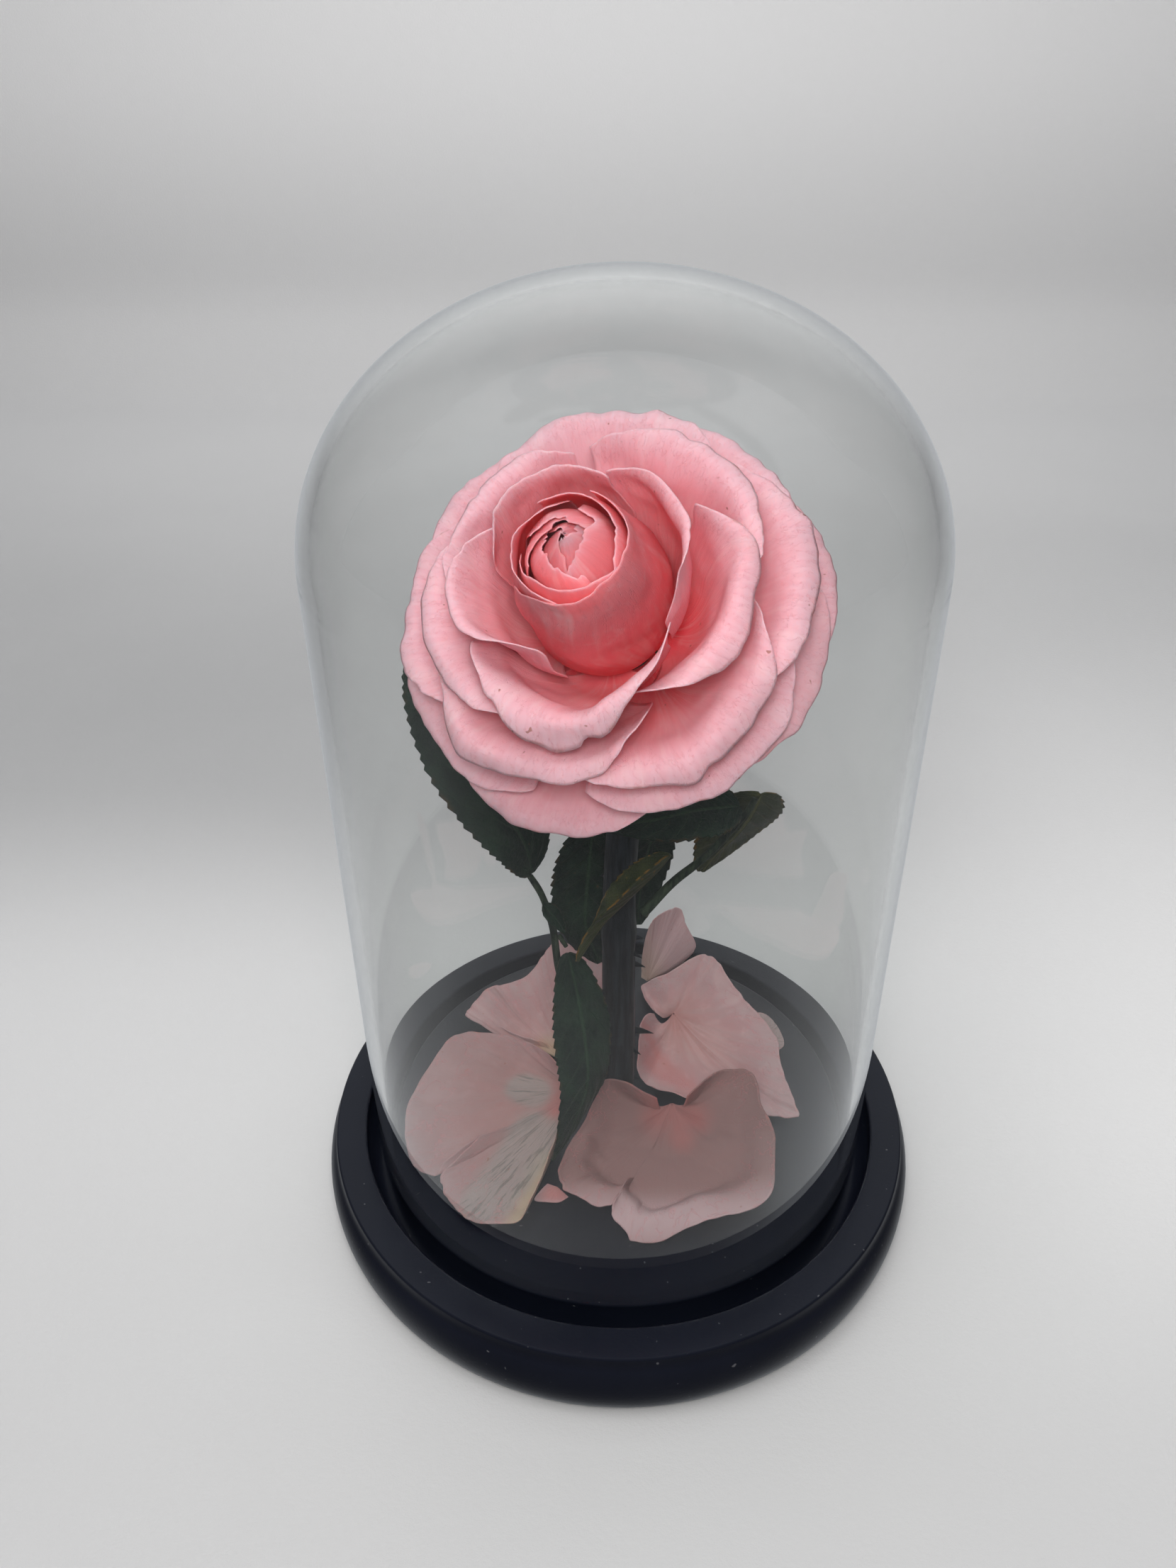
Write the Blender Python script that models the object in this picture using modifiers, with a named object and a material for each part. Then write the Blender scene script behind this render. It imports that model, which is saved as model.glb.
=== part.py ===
"""A preserved rose under a clear glass dome on a turned black base, with fallen petals round its stem."""
import math

import bmesh
import bpy
from mathutils import Vector

MM = 0.001
COLLECTION = "preserved_rose_in_glass_dome"

# Driving dimensions in millimetres: the glass first, because the base is turned to fit it.
GLASS_RADIUS = 57.5
GLASS_WALL = 2.5
GLASS_HEIGHT = 199.0
GLASS_SHOULDER_HEIGHT = 151.4
GLASS_STEPS = 36
BASE_RADIUS = 70.0
BASE_TOP = 17.0
BASE_STEPS = 36
GROOVE_FLOOR = 5.5
GROOVE_INNER_RADIUS = 54.6
GROOVE_OUTER_RADIUS = 60.6
RING_EDGE_RADIUS = 67.8
STEP_HEIGHT = 15.3
FOOT_RADIUS = 66.0
STEM_HOLE_RADIUS = 4.1
STEM_HOLE_FLOOR = 9.0
FIT_GAP = 0.3
ARRIS = 0.5

# The stem stands upright in the base and nods to the front under the weight of the bloom.
STEM_FOOT_RADIUS = 3.6
STEM_NECK_RADIUS = 2.6
STEM_ROUTE = ((0, 0, 9.3), (0.2, 0, 36), (0, 0.3, 62), (0.2, 1.0, 86), (1.4, 2.6, 106), (2.8, 4.2, 121))
CALYX_FOOT = 10.0
NECK_RUN = 8.0
STEM_RINGS = 14
THORN_RADIUS = 1.1
THORN_LENGTH = 3.4
# Each thorn: its height, the way it points round the stem in degrees, and its size.
THORNS = ((36, -20, 1.0), (40, 15, 1.9), (26, -5, 0.8), (31, 170, 1.0), (54, 200, 1.0),
          (61, 5, 1.1), (65, -15, 0.9), (68, 20, 1.1), (84, 140, 1.0), (50, 95, 1.2))

# The bloom nods to the front and a little to the left.
BLOOM_CENTRE = (-0.4, -9.2, 145.8)
BLOOM_AXIS = (-0.21, -0.69, 0.69)
SEPALS = 5
SEPAL_FIRST_AZIMUTH = 40.0
SEPAL_HALF_WIDTH = 2.1
SEPAL_CURVE = ((3.5, -3.7), (9.0, -6.6), (15.0, -8.6), (21.0, -13.0))
SEPAL_THICKNESS = 0.7
PETAL_THICKNESS = 0.45
BUD_PETAL_THICKNESS = 0.35
LEAF_THICKNESS = 0.45

# Each row is one layer of the bloom, from its heart to its outermost ring. It holds the layer's depth
# from 0 to 1, and the radius and height of the five points that steer a petal's long curve there.
LAYER_CURVES = (
    (0.00, ((1.0, 12.0), (2.0, 16.0), (2.6, 26.0), (2.2, 35.0), (0.9, 41.0))),
    (0.30, ((4.0, 8.5), (14.0, 2.0), (14.5, 16.0), (10.3, 30.0), (8.6, 40.0))),
    (0.45, ((5.5, 6.0), (15.0, 1.0), (19.5, 16.0), (19.0, 34.0), (26.0, 27.0))),
    (0.65, ((6.5, 4.0), (20.0, 4.0), (26.0, 13.0), (28.5, 23.0), (34.8, 17.0))),
    (0.85, ((7.5, 2.0), (22.0, 2.0), (29.0, 7.0), (34.0, 11.0), (37.5, 8.0))),
    (1.00, ((8.0, 0.5), (22.0, -3.0), (31.0, -1.0), (35.0, 3.0), (38.5, 0.0))),
)

# Each open petal: its name, the way it points round the axis in degrees, its layer, half its spread in
# degrees, how far it reaches along the layer's curve, its pointed tip (how far it stands out, and where on
# the rim), how far each side tucks in towards the heart, and how far the rim falls to each side.
OPEN_PETALS = (
    ("petal_inner_upper_left", 118, 0.350, 54, 1.00, (0.00, 0.0), (0.010, 0.015), (0.10, 0.16)),
    ("petal_inner_upper_right", 22, 0.386, 52, 1.00, (0.02, 0.2), (0.036, 0.020), (0.36, 0.16)),
    ("petal_inner_left", 196, 0.406, 52, 0.98, (0.01, 0.0), (0.024, 0.050), (0.26, 0.24)),
    ("petal_inner_front", 266, 0.454, 58, 1.00, (0.05, -0.1), (0.018, 0.070), (0.28, 0.24)),
    ("petal_inner_right", 342, 0.492, 48, 1.00, (0.02, -0.1), (0.030, 0.050), (0.32, 0.24)),
    ("petal_middle_upper_left", 140, 0.444, 44, 0.97, (0.00, 0.0), (0.000, 0.000), (0.22, 0.26)),
    ("petal_middle_left", 200, 0.517, 46, 0.97, (0.01, 0.0), (0.020, 0.015), (0.28, 0.26)),
    ("petal_middle_upper_right", 42, 0.556, 50, 0.97, (0.01, -0.3), (0.020, 0.020), (0.24, 0.26)),
    ("petal_middle_front_left", 245, 0.604, 50, 1.00, (0.05, -0.3), (0.016, 0.080), (0.30, 0.34)),
    ("petal_middle_front_right", 304, 0.640, 48, 1.00, (0.02, 0.1), (0.005, 0.060), (0.32, 0.30)),
    ("petal_middle_right", 4, 0.684, 46, 1.00, (0.02, -0.1), (0.030, 0.020), (0.32, 0.30)),
    ("petal_outer_top", 90, 0.700, 40, 1.02, (0.01, 0.0), (0.010, 0.010), (0.28, 0.28)),
    ("petal_outer_left_fold", 180, 0.724, 36, 0.98, (0.02, 0.4), (0.010, 0.010), (0.28, 0.30)),
    ("petal_outer_upper_left", 128, 0.752, 36, 1.03, (0.00, 0.0), (0.010, 0.010), (0.28, 0.28)),
    ("petal_outer_upper_right", 52, 0.780, 40, 1.02, (0.01, 0.2), (0.010, 0.010), (0.28, 0.30)),
    ("petal_outer_front_right", 304, 0.806, 40, 1.00, (0.02, 0.0), (0.020, 0.020), (0.30, 0.28)),
    ("petal_outer_left_upper", 158, 0.834, 36, 1.00, (0.00, 0.0), (0.010, 0.010), (0.26, 0.26)),
    ("petal_outer_left", 207, 0.860, 40, 1.00, (0.01, 0.0), (0.010, 0.010), (0.28, 0.30)),
    ("petal_outer_right_lower", 338, 0.888, 34, 0.98, (0.01, 0.0), (0.010, 0.010), (0.28, 0.28)),
    ("petal_outer_front", 257, 0.918, 40, 0.98, (0.10, -0.25), (0.010, 0.010), (0.32, 0.46)),
    ("petal_outer_right", 12, 0.954, 38, 1.00, (0.04, -0.1), (0.010, 0.010), (0.26, 0.30)),
)
BUD_PETALS = 11
BUD_TURN = 137.5
BUD_FIRST_AZIMUTH = 20.0
BUD_FIRST_LAYER = 0.015
BUD_LAST_LAYER = 0.31
BUD_SPREAD_INNER = 95.0
BUD_SPREAD_OUTER = 105.0
BUD_SPIRAL = 0.005
BUD_START = 0.16
OPEN_START = 0.06
BUD_GRID = (6, 3)
PETAL_GRID = (6, 4)
BUD_RIM_FALL = 0.06
# The share of a fallen petal's length that its narrow claw takes.
CLAW_SHARE = 0.12


def clear_scene():
    for thing in list(bpy.data.objects):
        bpy.data.objects.remove(thing, do_unlink=True)


def collection(name):
    made = bpy.data.collections.new(name)
    bpy.context.scene.collection.children.link(made)
    return made


def material(name, colour, roughness, metallic=0.0, alpha=1.0, transmission=0.0):
    made = bpy.data.materials.new(name)
    made.use_nodes = True
    shader = made.node_tree.nodes["Principled BSDF"]
    shader.inputs["Base Color"].default_value = (*colour, 1.0)
    shader.inputs["Roughness"].default_value = roughness
    shader.inputs["Metallic"].default_value = metallic
    shader.inputs["Alpha"].default_value = alpha
    shader.inputs["Transmission Weight"].default_value = transmission
    return made


def place(name, mesh, finish, group):
    thing = bpy.data.objects.new(name, mesh)
    group.objects.link(thing)
    mesh.materials.append(finish)
    return thing


def blend(low, high, share):
    return low + (high - low) * share


def ease(share):
    share = min(max(share, 0.0), 1.0)
    return share * share * (3.0 - 2.0 * share)


def bezier(points, share):
    """Point at a share of the way along the curve that the points steer."""
    points = [Vector(point) for point in points]
    while len(points) > 1:
        points = [first.lerp(second, share) for first, second in zip(points, points[1:])]
    return points[0]


def through(points, share):
    """Point at a share of the way along a smooth curve that passes through every point."""
    points = [Vector(point) for point in points]
    place_along = share * (len(points) - 1)
    first = min(int(place_along), len(points) - 2)
    t = place_along - first
    before = points[max(first - 1, 0)]
    after = points[min(first + 2, len(points) - 1)]
    start, end = points[first], points[first + 1]
    return 0.5 * ((2 * start) + (end - before) * t + (2 * before - 5 * start + 4 * end - after) * t * t
                  + (3 * start - before - 3 * end + after) * t * t * t)


def turned(name, profile, steps, finish, group):
    """A solid of revolution about Z. The profile starts and ends on the axis and runs down its outer side."""
    mesh = bpy.data.meshes.new(name)
    mesh.from_pydata([(r * MM, 0.0, z * MM) for r, z in profile],
                     [(i, i + 1) for i in range(len(profile) - 1)], [])
    thing = place(name, mesh, finish, group)
    screw = thing.modifiers.new("Turned", "SCREW")
    screw.steps = screw.render_steps = steps
    screw.use_merge_vertices = True
    screw.merge_threshold = 0.00001
    screw.use_smooth_shade = True
    return thing


def arc(centre, radii, start, end, count):
    """Points on an ellipse's arc, angles in degrees from +X towards +Z."""
    angles = [math.radians(blend(start, end, i / count)) for i in range(count + 1)]
    return [(centre[0] + radii[0] * math.cos(a), centre[1] + radii[1] * math.sin(a)) for a in angles]


def sheet(name, columns, rows, shape, thickness, finish, group):
    """A thin closed shell: a grid whose points go where shape(across, along) says, given a thickness."""
    net = bmesh.new()
    bmesh.ops.create_grid(net, x_segments=columns, y_segments=rows, size=1.0)
    for point in net.verts:
        across, along = point.co.x, (point.co.y + 1.0) / 2.0
        point.co = shape(across, along) * MM
    mesh = bpy.data.meshes.new(name)
    net.to_mesh(mesh)
    net.free()
    mesh.shade_smooth()
    thing = place(name, mesh, finish, group)
    wall = thing.modifiers.new("Thickness", "SOLIDIFY")
    wall.thickness = thickness * MM
    wall.offset = 0.0
    return thing


def tube(name, points, radii, sides_level, finish, group):
    """A round stalk along the points, given as one closed mesh. Points are in millimetres."""
    path = bpy.data.curves.new(name, "CURVE")
    path.dimensions = "3D"
    path.bevel_depth = MM
    path.bevel_resolution = sides_level
    path.use_fill_caps = True
    run = path.splines.new("POLY")
    run.points.add(len(points) - 1)
    for knot, point, radius in zip(run.points, points, radii):
        knot.co = (*(Vector(point) * MM), 1.0)
        knot.radius = radius
    guide = bpy.data.objects.new(name + "_path", path)
    group.objects.link(guide)
    shaped = guide.evaluated_get(bpy.context.evaluated_depsgraph_get())
    mesh = bpy.data.meshes.new_from_object(shaped)
    mesh.name = name
    net = bmesh.new()
    net.from_mesh(mesh)
    bmesh.ops.remove_doubles(net, verts=net.verts, dist=0.00001)
    net.to_mesh(mesh)
    net.free()
    bpy.data.objects.remove(guide, do_unlink=True)
    mesh.materials.clear()
    mesh.shade_smooth()
    return place(name, mesh, finish, group)


def add_thorn(net, root, direction, radius, length):
    """One thorn: a slim cone with its foot inside the stalk."""
    turn = Vector(direction).normalized().to_track_quat("Z", "Y").to_matrix().to_4x4()
    shift = Vector(root) + Vector(direction).normalized() * length / 2.0
    turn.translation = shift * MM
    bmesh.ops.create_cone(net, cap_ends=True, segments=5, radius1=radius * MM, radius2=0.08 * MM,
                          depth=length * MM, matrix=turn)


def join(thing, tool):
    """Fuse a helper solid into an object."""
    tool.hide_render = True
    tool.display_type = "WIRE"
    union = thing.modifiers.new("Fused " + tool.name, "BOOLEAN")
    union.operation = "UNION"
    union.solver = "EXACT"
    union.object = tool
    return thing


class Bloom:
    """Cylindrical coordinates round the bloom's axis: radius, azimuth from the viewer's right, height."""

    def __init__(self):
        self.centre = Vector(BLOOM_CENTRE)
        self.axis = Vector(BLOOM_AXIS).normalized()
        right = Vector((1.0, 0.0, 0.0))
        self.right = (right - self.axis * right.dot(self.axis)).normalized()
        self.up = self.axis.cross(self.right)

    def point(self, radius, azimuth, height):
        turn = math.radians(azimuth)
        outwards = self.right * math.cos(turn) + self.up * math.sin(turn)
        return self.centre + outwards * radius + self.axis * height

    def layer_curve(self, layer):
        """The five steering points of a layer, blended between the two rows on either side of it."""
        rows = LAYER_CURVES
        for (low, inner), (high, outer) in zip(rows, rows[1:]):
            if layer <= high:
                break
        share = (layer - low) / (high - low)
        return [(blend(a[0], b[0], share), blend(a[1], b[1], share)) for a, b in zip(inner, outer)]


BLOOM = Bloom()


def petal(name, azimuth, layer, spread, reach, tip, tucks, falls, start, spiral, thickness, grid,
          finish, group):
    """A petal on one layer of the bloom: narrow at its claw, broad and rounded at its rim."""

    def shape(across, along):
        side = abs(across)
        high = across > 0
        width = spread * (0.34 + 0.66 * ease(along / 0.62))
        rounding = 1.0 - falls[high] * side ** 2.6 + tip[0] * max(1.0 - abs(across - tip[1]), 0.0) ** 2
        curve = BLOOM.layer_curve(layer + spiral * across - tucks[high] * side ** 1.6)
        radius, height = bezier([(r, h) for r, h in curve], start + (reach * rounding - start) * along)
        return BLOOM.point(radius, azimuth + width * across, height)

    return sheet(name, grid[0], grid[1], shape, thickness, finish, group)


def leaf(name, midrib, half_width, side_start, side_end, fold, curl, rows, finish, group):
    """A leaflet along its midrib, folded up at both sides of it, with a toothed edge."""

    def shape(across, along):
        centre = through(midrib, along)
        ahead = through(midrib, min(along + 0.01, 1.0)) - through(midrib, max(along - 0.01, 0.0))
        ahead.normalize()
        side = Vector(side_start).lerp(Vector(side_end), along)
        side = (side - ahead * side.dot(ahead)).normalized()
        normal = side.cross(ahead)
        width = half_width * (0.07 + 0.93 * math.sin(math.pi * min(along, 0.985) ** 0.8) ** 0.8)
        row = round(along * rows)
        if 0 < row < rows and row % 2 == 0:
            width *= 0.92
        lift = fold * abs(across) * width - curl * across * across * width
        return centre + side * across * width + normal * lift

    return sheet(name, 2, rows, shape, LEAF_THICKNESS, finish, group)


def fallen(name, claw, sag, rim_points, grid, finish, group):
    """A petal lying on the base: a fan from its claw to its rim that sags in between."""
    ground = BASE_TOP + FIT_GAP + PETAL_THICKNESS / 2.0

    def shape(across, along):
        rim = through(rim_points, across / 2.0 + 0.5)
        point = Vector(claw).lerp(rim, blend(CLAW_SHARE, 1.0, along))
        point.z = ground + max(point.z - sag * math.sin(math.pi * along), 0.0)
        return point

    return sheet(name, grid[0], grid[1], shape, PETAL_THICKNESS, finish, group)


# Each leaflet: its midrib from foot to tip, half width, the way its blade turns at both ends, how far it
# folds, how far its sides curl, and how many rows of teeth and gaps it has.
LEAVES = (
    ("leaf_left", ((-19.2, 4.1, 82.6), (-21.6, 4.8, 92.0), (-30.7, 6.8, 107.0), (-37.3, 10.0, 123.0),
                   (-39.0, 12.0, 135.0), (-38.0, 14.0, 146.0)), 10.5, (0.45, 0.8, 0.3), (0.75, 0.6, 0.2),
     0.20, 0.10, 12),
    ("leaf_behind_stem", ((-6.0, 13.0, 89.4), (-7.1, 13.0, 75.7), (-7.8, 12.0, 62.0), (-4.4, 10.0, 52.1)),
     8.5, (1.0, 0.2, 0.0), (1.0, -0.1, 0.0), 0.15, 0.0, 10),
    ("leaf_behind_right", ((9.0, 9.6, 96.0), (6.9, 10.4, 86.7), (5.0, 10.4, 74.6), (4.4, 9.0, 64.6)),
     7.0, (0.8, 0.2, 0.5), (0.9, 0.3, 0.3), 0.15, 0.0, 8),
    ("leaf_folded_front", ((10.6, -5.4, 94.6), (5.2, -8.2, 89.3), (-2.0, -9.4, 81.3), (-8.6, -9.6, 69.8)),
     5.8, (0.5, 0.75, 0.4), (0.5, 0.8, 0.3), 0.60, 0.0, 10),
    ("leaf_drooping", ((-11.0, -5.6, 68.4), (-8.8, -9.6, 59.6), (-7.2, -13.5, 50.2), (-6.8, -17.5, 40.6),
                       (-10.4, -21.5, 30.5), (-14.2, -24.6, 24.5)), 6.8, (1.0, -0.1, -0.1), (0.45, 0.85, 0.0),
     0.25, 0.0, 12),
    ("leaf_under_bloom", ((24.8, 2.4, 101.6), (17.6, -0.4, 102.6), (7.2, -5.6, 103.4), (-3.8, -9.2, 104.2)),
     7.6, (0.1, -0.9, -0.35), (0.0, -0.9, -0.3), -0.15, 0.0, 10),
    ("leaf_right", ((30.0, 7.2, 101.6), (27.8, 9.2, 93.4), (23.4, 11.6, 84.8), (18.9, 13.6, 76.4)),
     9.6, (0.95, 0.05, 0.3), (0.85, 0.2, 0.45), 0.20, 0.0, 10),
    ("leaf_bract", ((-16.2, -1.4, 78.4), (-14.0, -3.0, 76.4), (-11.6, -4.4, 73.2)),
     1.8, (0.6, 0.5, 0.6), (0.6, 0.5, 0.6), 0.3, 0.0, 6),
)

# Each stalk's route and its radius at both ends.
STALKS = (
    ("leaf_stalk_left", ((-4.8, 0.0, 43.6), (-9.7, -2.0, 50.5), (-13.2, -2.0, 59.9), (-14.6, 0.0, 70.9),
                         (-16.8, 2.0, 77.8), (-19.6, 4.0, 81.9)), 1.0, 0.7),
    ("leaf_stalk_right", ((5.2, 0.2, 75.0), (11.9, 2.0, 82.4), (18.8, 3.0, 88.8), (26.4, 5.0, 97.7),
                          (28.4, 5.4, 101.6)), 1.1, 0.6),
    ("leaf_stalk_front", ((-13.0, -2.4, 70.6), (-12.4, -3.4, 70.2), (-11.4, -4.8, 69.6)), 0.6, 0.5),
)

# Each fallen petal: its claw, how far it sags, its grid, and the points of its rim from one side of the
# claw to the other. Heights are over the floor of the case.
FALLEN_PETALS = (
    ("fallen_petal_front", (13.0, -6.2, 5.0), 4.2, (12, 3),
     ((-3.0, -5.2, 9.0), (-5.1, -7.4, 8.0), (-7.8, -12.6, 6.0), (-10.7, -18.1, 5.0), (-13.0, -24.1, 3.5),
      (-12.2, -28.0, 3.0), (-8.4, -30.8, 2.0), (-4.8, -32.4, 1.0), (-0.9, -33.0, 1.0), (2.2, -38.4, 1.0),
      (3.4, -40.2, 0.6), (7.4, -40.6, 0.6), (11.4, -39.5, 1.0), (16.1, -37.1, 1.5), (22.0, -35.3, 2.0),
      (29.7, -33.1, 3.0), (33.7, -30.4, 5.0), (35.3, -22.5, 6.0), (36.0, -14.8, 6.5), (34.0, -9.4, 8.0),
      (33.0, -2.1, 10.0), (29.7, 0.7, 10.0), (24.7, 0.7, 9.5))),
    ("fallen_petal_left_front", (-9.6, 0.6, 2.5), 2.0, (12, 3),
     ((-17.6, 12.0, 3.0), (-23.8, 15.6, 3.0), (-30.3, 16.8, 4.0), (-38.8, 16.4, 5.0), (-43.4, 12.4, 6.0),
      (-47.0, 3.3, 6.0), (-49.8, -4.5, 5.0), (-50.3, -11.8, 4.0), (-48.0, -19.5, 2.0), (-45.1, -23.4, 1.0),
      (-40.8, -25.1, 1.0), (-39.1, -26.7, 1.0), (-37.1, -30.6, 1.0), (-33.6, -34.8, 1.5), (-29.1, -37.4, 2.0),
      (-21.2, -37.9, 3.0), (-18.4, -33.6, 4.0))),
    ("fallen_petal_left_back", (-12.6, 11.4, 1.0), 2.0, (9, 3),
     ((-40.3, 23.4, 4.0), (-39.2, 26.0, 5.0), (-35.7, 30.4, 7.0), (-31.0, 30.5, 8.0), (-24.2, 34.0, 9.0),
      (-20.7, 37.6, 12.0), (-18.0, 40.7, 14.0), (-15.9, 41.2, 15.0), (-9.4, 38.9, 12.0), (-2.9, 39.8, 9.0),
      (-3.2, 35.1, 7.0), (-5.4, 25.9, 5.0))),
    ("fallen_petal_back", (8.0, 41.0, 0.8), 0.0, (6, 2),
     ((6.4, 41.6, 1.6), (6.6, 43.8, 8.0), (8.2, 45.5, 16.0), (11.0, 47.6, 19.0), (15.0, 48.6, 21.0),
      (17.2, 48.8, 20.0), (18.6, 46.9, 16.0), (21.4, 45.6, 9.0), (16.9, 45.4, 3.0))),
    ("fallen_petal_right", (14.6, 25.6, 4.5), 3.4, (11, 3),
     ((7.5, 32.4, 2.0), (6.5, 37.4, 3.0), (12.2, 37.3, 7.0), (20.8, 40.6, 10.0), (25.2, 40.6, 10.0),
      (27.9, 38.0, 9.0), (32.4, 30.6, 7.0), (35.5, 25.7, 6.0), (40.7, 16.2, 5.5), (40.8, 9.8, 4.5),
      (41.8, 1.9, 4.0), (42.8, -4.0, 3.0), (43.3, -7.2, 2.0), (39.2, -6.0, 1.2), (34.7, -5.0, 1.2),
      (27.1, -3.2, 1.2), (16.4, -0.4, 1.2), (8.1, 2.2, 2.4), (5.1, 4.8, 5.0), (5.2, 8.8, 7.0),
      (5.8, 16.2, 8.5), (7.4, 21.0, 8.0), (9.4, 24.2, 5.5))),
    ("fallen_scrap_right", (35.0, 19.0, 1.0), 0.0, (5, 2),
     ((34.8, 24.0, 1.6), (36.4, 27.2, 2.5), (38.6, 27.0, 3.0), (40.8, 24.6, 3.0), (42.8, 20.0, 2.5),
      (43.0, 16.4, 2.0), (40.0, 14.4, 1.4))),
    ("fallen_scrap_front", (-13.2, -27.0, 0.8), 0.0, (5, 2),
     ((-15.4, -26.4, 1.2), (-16.8, -28.4, 1.4), (-18.0, -30.6, 1.0), (-15.6, -31.0, 0.9), (-12.6, -31.0, 0.8),
      (-10.6, -29.4, 0.6))),
)


def make_base(group):
    lacquer = material("black_lacquer", (0.012, 0.013, 0.018), 0.42)
    middle = STEP_HEIGHT / 2.0
    swell = BASE_RADIUS - FOOT_RADIUS
    bulge = (arc((FOOT_RADIUS, middle), (swell, middle), 80, 0, 3)
             + arc((FOOT_RADIUS, middle), (swell, middle), 0, -90, 3)[1:])
    profile = [(0, STEM_HOLE_FLOOR), (STEM_HOLE_RADIUS, STEM_HOLE_FLOOR), (STEM_HOLE_RADIUS, BASE_TOP),
               (GROOVE_INNER_RADIUS - ARRIS, BASE_TOP), (GROOVE_INNER_RADIUS, BASE_TOP - ARRIS),
               (GROOVE_INNER_RADIUS, GROOVE_FLOOR), (GROOVE_OUTER_RADIUS, GROOVE_FLOOR),
               (GROOVE_OUTER_RADIUS, BASE_TOP - ARRIS), (GROOVE_OUTER_RADIUS + ARRIS, BASE_TOP),
               (RING_EDGE_RADIUS - ARRIS / 2, BASE_TOP), (RING_EDGE_RADIUS, BASE_TOP - ARRIS / 2)]
    profile += bulge + [(0, 0)]
    turned("base", profile, BASE_STEPS, lacquer, group)


def make_glass(group):
    clear = material("clear_glass", (0.93, 0.96, 0.95), 0.02, alpha=0.35, transmission=1.0)
    foot = GROOVE_FLOOR + FIT_GAP
    top = foot + GLASS_HEIGHT
    shoulder = foot + GLASS_SHOULDER_HEIGHT
    inner = GLASS_RADIUS - GLASS_WALL
    outer_dome = arc((0, shoulder), (GLASS_RADIUS, top - shoulder), 90, 0, 7)
    inner_dome = arc((0, shoulder), (inner, top - GLASS_WALL - shoulder), 0, 90, 7)
    profile = outer_dome + [(GLASS_RADIUS, foot + ARRIS), (GLASS_RADIUS - ARRIS, foot), (inner + ARRIS, foot),
                            (inner, foot + ARRIS)] + inner_dome
    profile[0] = (0, top)
    profile[-1] = (0, top - GLASS_WALL)
    turned("glass_dome", profile, GLASS_STEPS, clear, group)


def make_stem(group, helpers):
    bark = material("dark_stem", (0.015, 0.018, 0.022), 0.55)
    neck = BLOOM.point(0, 0, -CALYX_FOOT - 2 * FIT_GAP)
    below = BLOOM.point(0, 0, -CALYX_FOOT - NECK_RUN)
    route = [Vector(point) for point in STEM_ROUTE] + [below, neck]
    last = STEM_RINGS - 1
    points = [through(route, i / last) for i in range(STEM_RINGS)]
    radii = [blend(STEM_FOOT_RADIUS, STEM_NECK_RADIUS, i / last) for i in range(STEM_RINGS)]
    stem = tube("stem", points, radii, 3, bark, group)
    thorns = bmesh.new()
    for height, azimuth, scale in THORNS:
        turn = math.radians(azimuth)
        out = Vector((math.cos(turn), math.sin(turn), -0.18))
        add_thorn(thorns, Vector((0.1, 0.2, height)) + out * 2.4, out, THORN_RADIUS * scale ** 0.5,
                  THORN_LENGTH * scale)
    mesh = bpy.data.meshes.new("stem_thorns")
    thorns.to_mesh(mesh)
    thorns.free()
    join(stem, place("stem_thorns", mesh, bark, helpers))


def make_calyx(group, helpers):
    green = material("calyx_green", (0.045, 0.075, 0.035), 0.6)
    profile = [(0, 10.2), (1.6, 9.0), (3.0, 6.4), (4.2, 4.0), (5.6, 0.6), (5.9, -1.4), (4.9, -2.8),
               (4.5, -5.6), (3.4, -8.4), (2.8, -CALYX_FOOT), (0, -CALYX_FOOT)]
    calyx = turned("calyx", profile, 10, green, group)
    turn = BLOOM.axis.to_track_quat("Z", "Y")
    calyx.rotation_mode = "QUATERNION"
    calyx.rotation_quaternion = turn
    calyx.location = BLOOM.centre * MM
    for number in range(SEPALS):
        azimuth = SEPAL_FIRST_AZIMUTH + 360.0 / SEPALS * number

        def sepal(across, along, azimuth=azimuth):
            radius, height = bezier(SEPAL_CURVE, along)
            half = SEPAL_HALF_WIDTH * (1.0 - along) ** 0.7 + 0.35
            sideways = math.degrees(half * across / max(radius, 3.0))
            return BLOOM.point(radius, azimuth + sideways, height - 0.5 * across * across)

        join(calyx, sheet("sepal_%d" % (number + 1), 2, 4, sepal, SEPAL_THICKNESS, green, helpers))


def make_bloom(group):
    pink = material("petal_pink", (0.86, 0.42, 0.44), 0.55)
    coral = material("petal_coral", (0.85, 0.30, 0.30), 0.6)
    for number in range(BUD_PETALS):
        share = number / (BUD_PETALS - 1)
        falls = (BUD_RIM_FALL, BUD_RIM_FALL)
        petal("bud_petal_%d" % (number + 1), BUD_FIRST_AZIMUTH + BUD_TURN * number,
              blend(BUD_FIRST_LAYER, BUD_LAST_LAYER, share), blend(BUD_SPREAD_INNER, BUD_SPREAD_OUTER, share),
              0.995 - 0.006 * (number % 3), (0.0, 0.0), (0.0, 0.0), falls, BUD_START, BUD_SPIRAL,
              BUD_PETAL_THICKNESS, BUD_GRID, coral, group)
    for name, azimuth, layer, spread, reach, tip, tucks, falls in OPEN_PETALS:
        petal(name, azimuth, layer, spread, reach, tip, tucks, falls, OPEN_START, 0.0, PETAL_THICKNESS,
              PETAL_GRID, pink, group)


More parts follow.
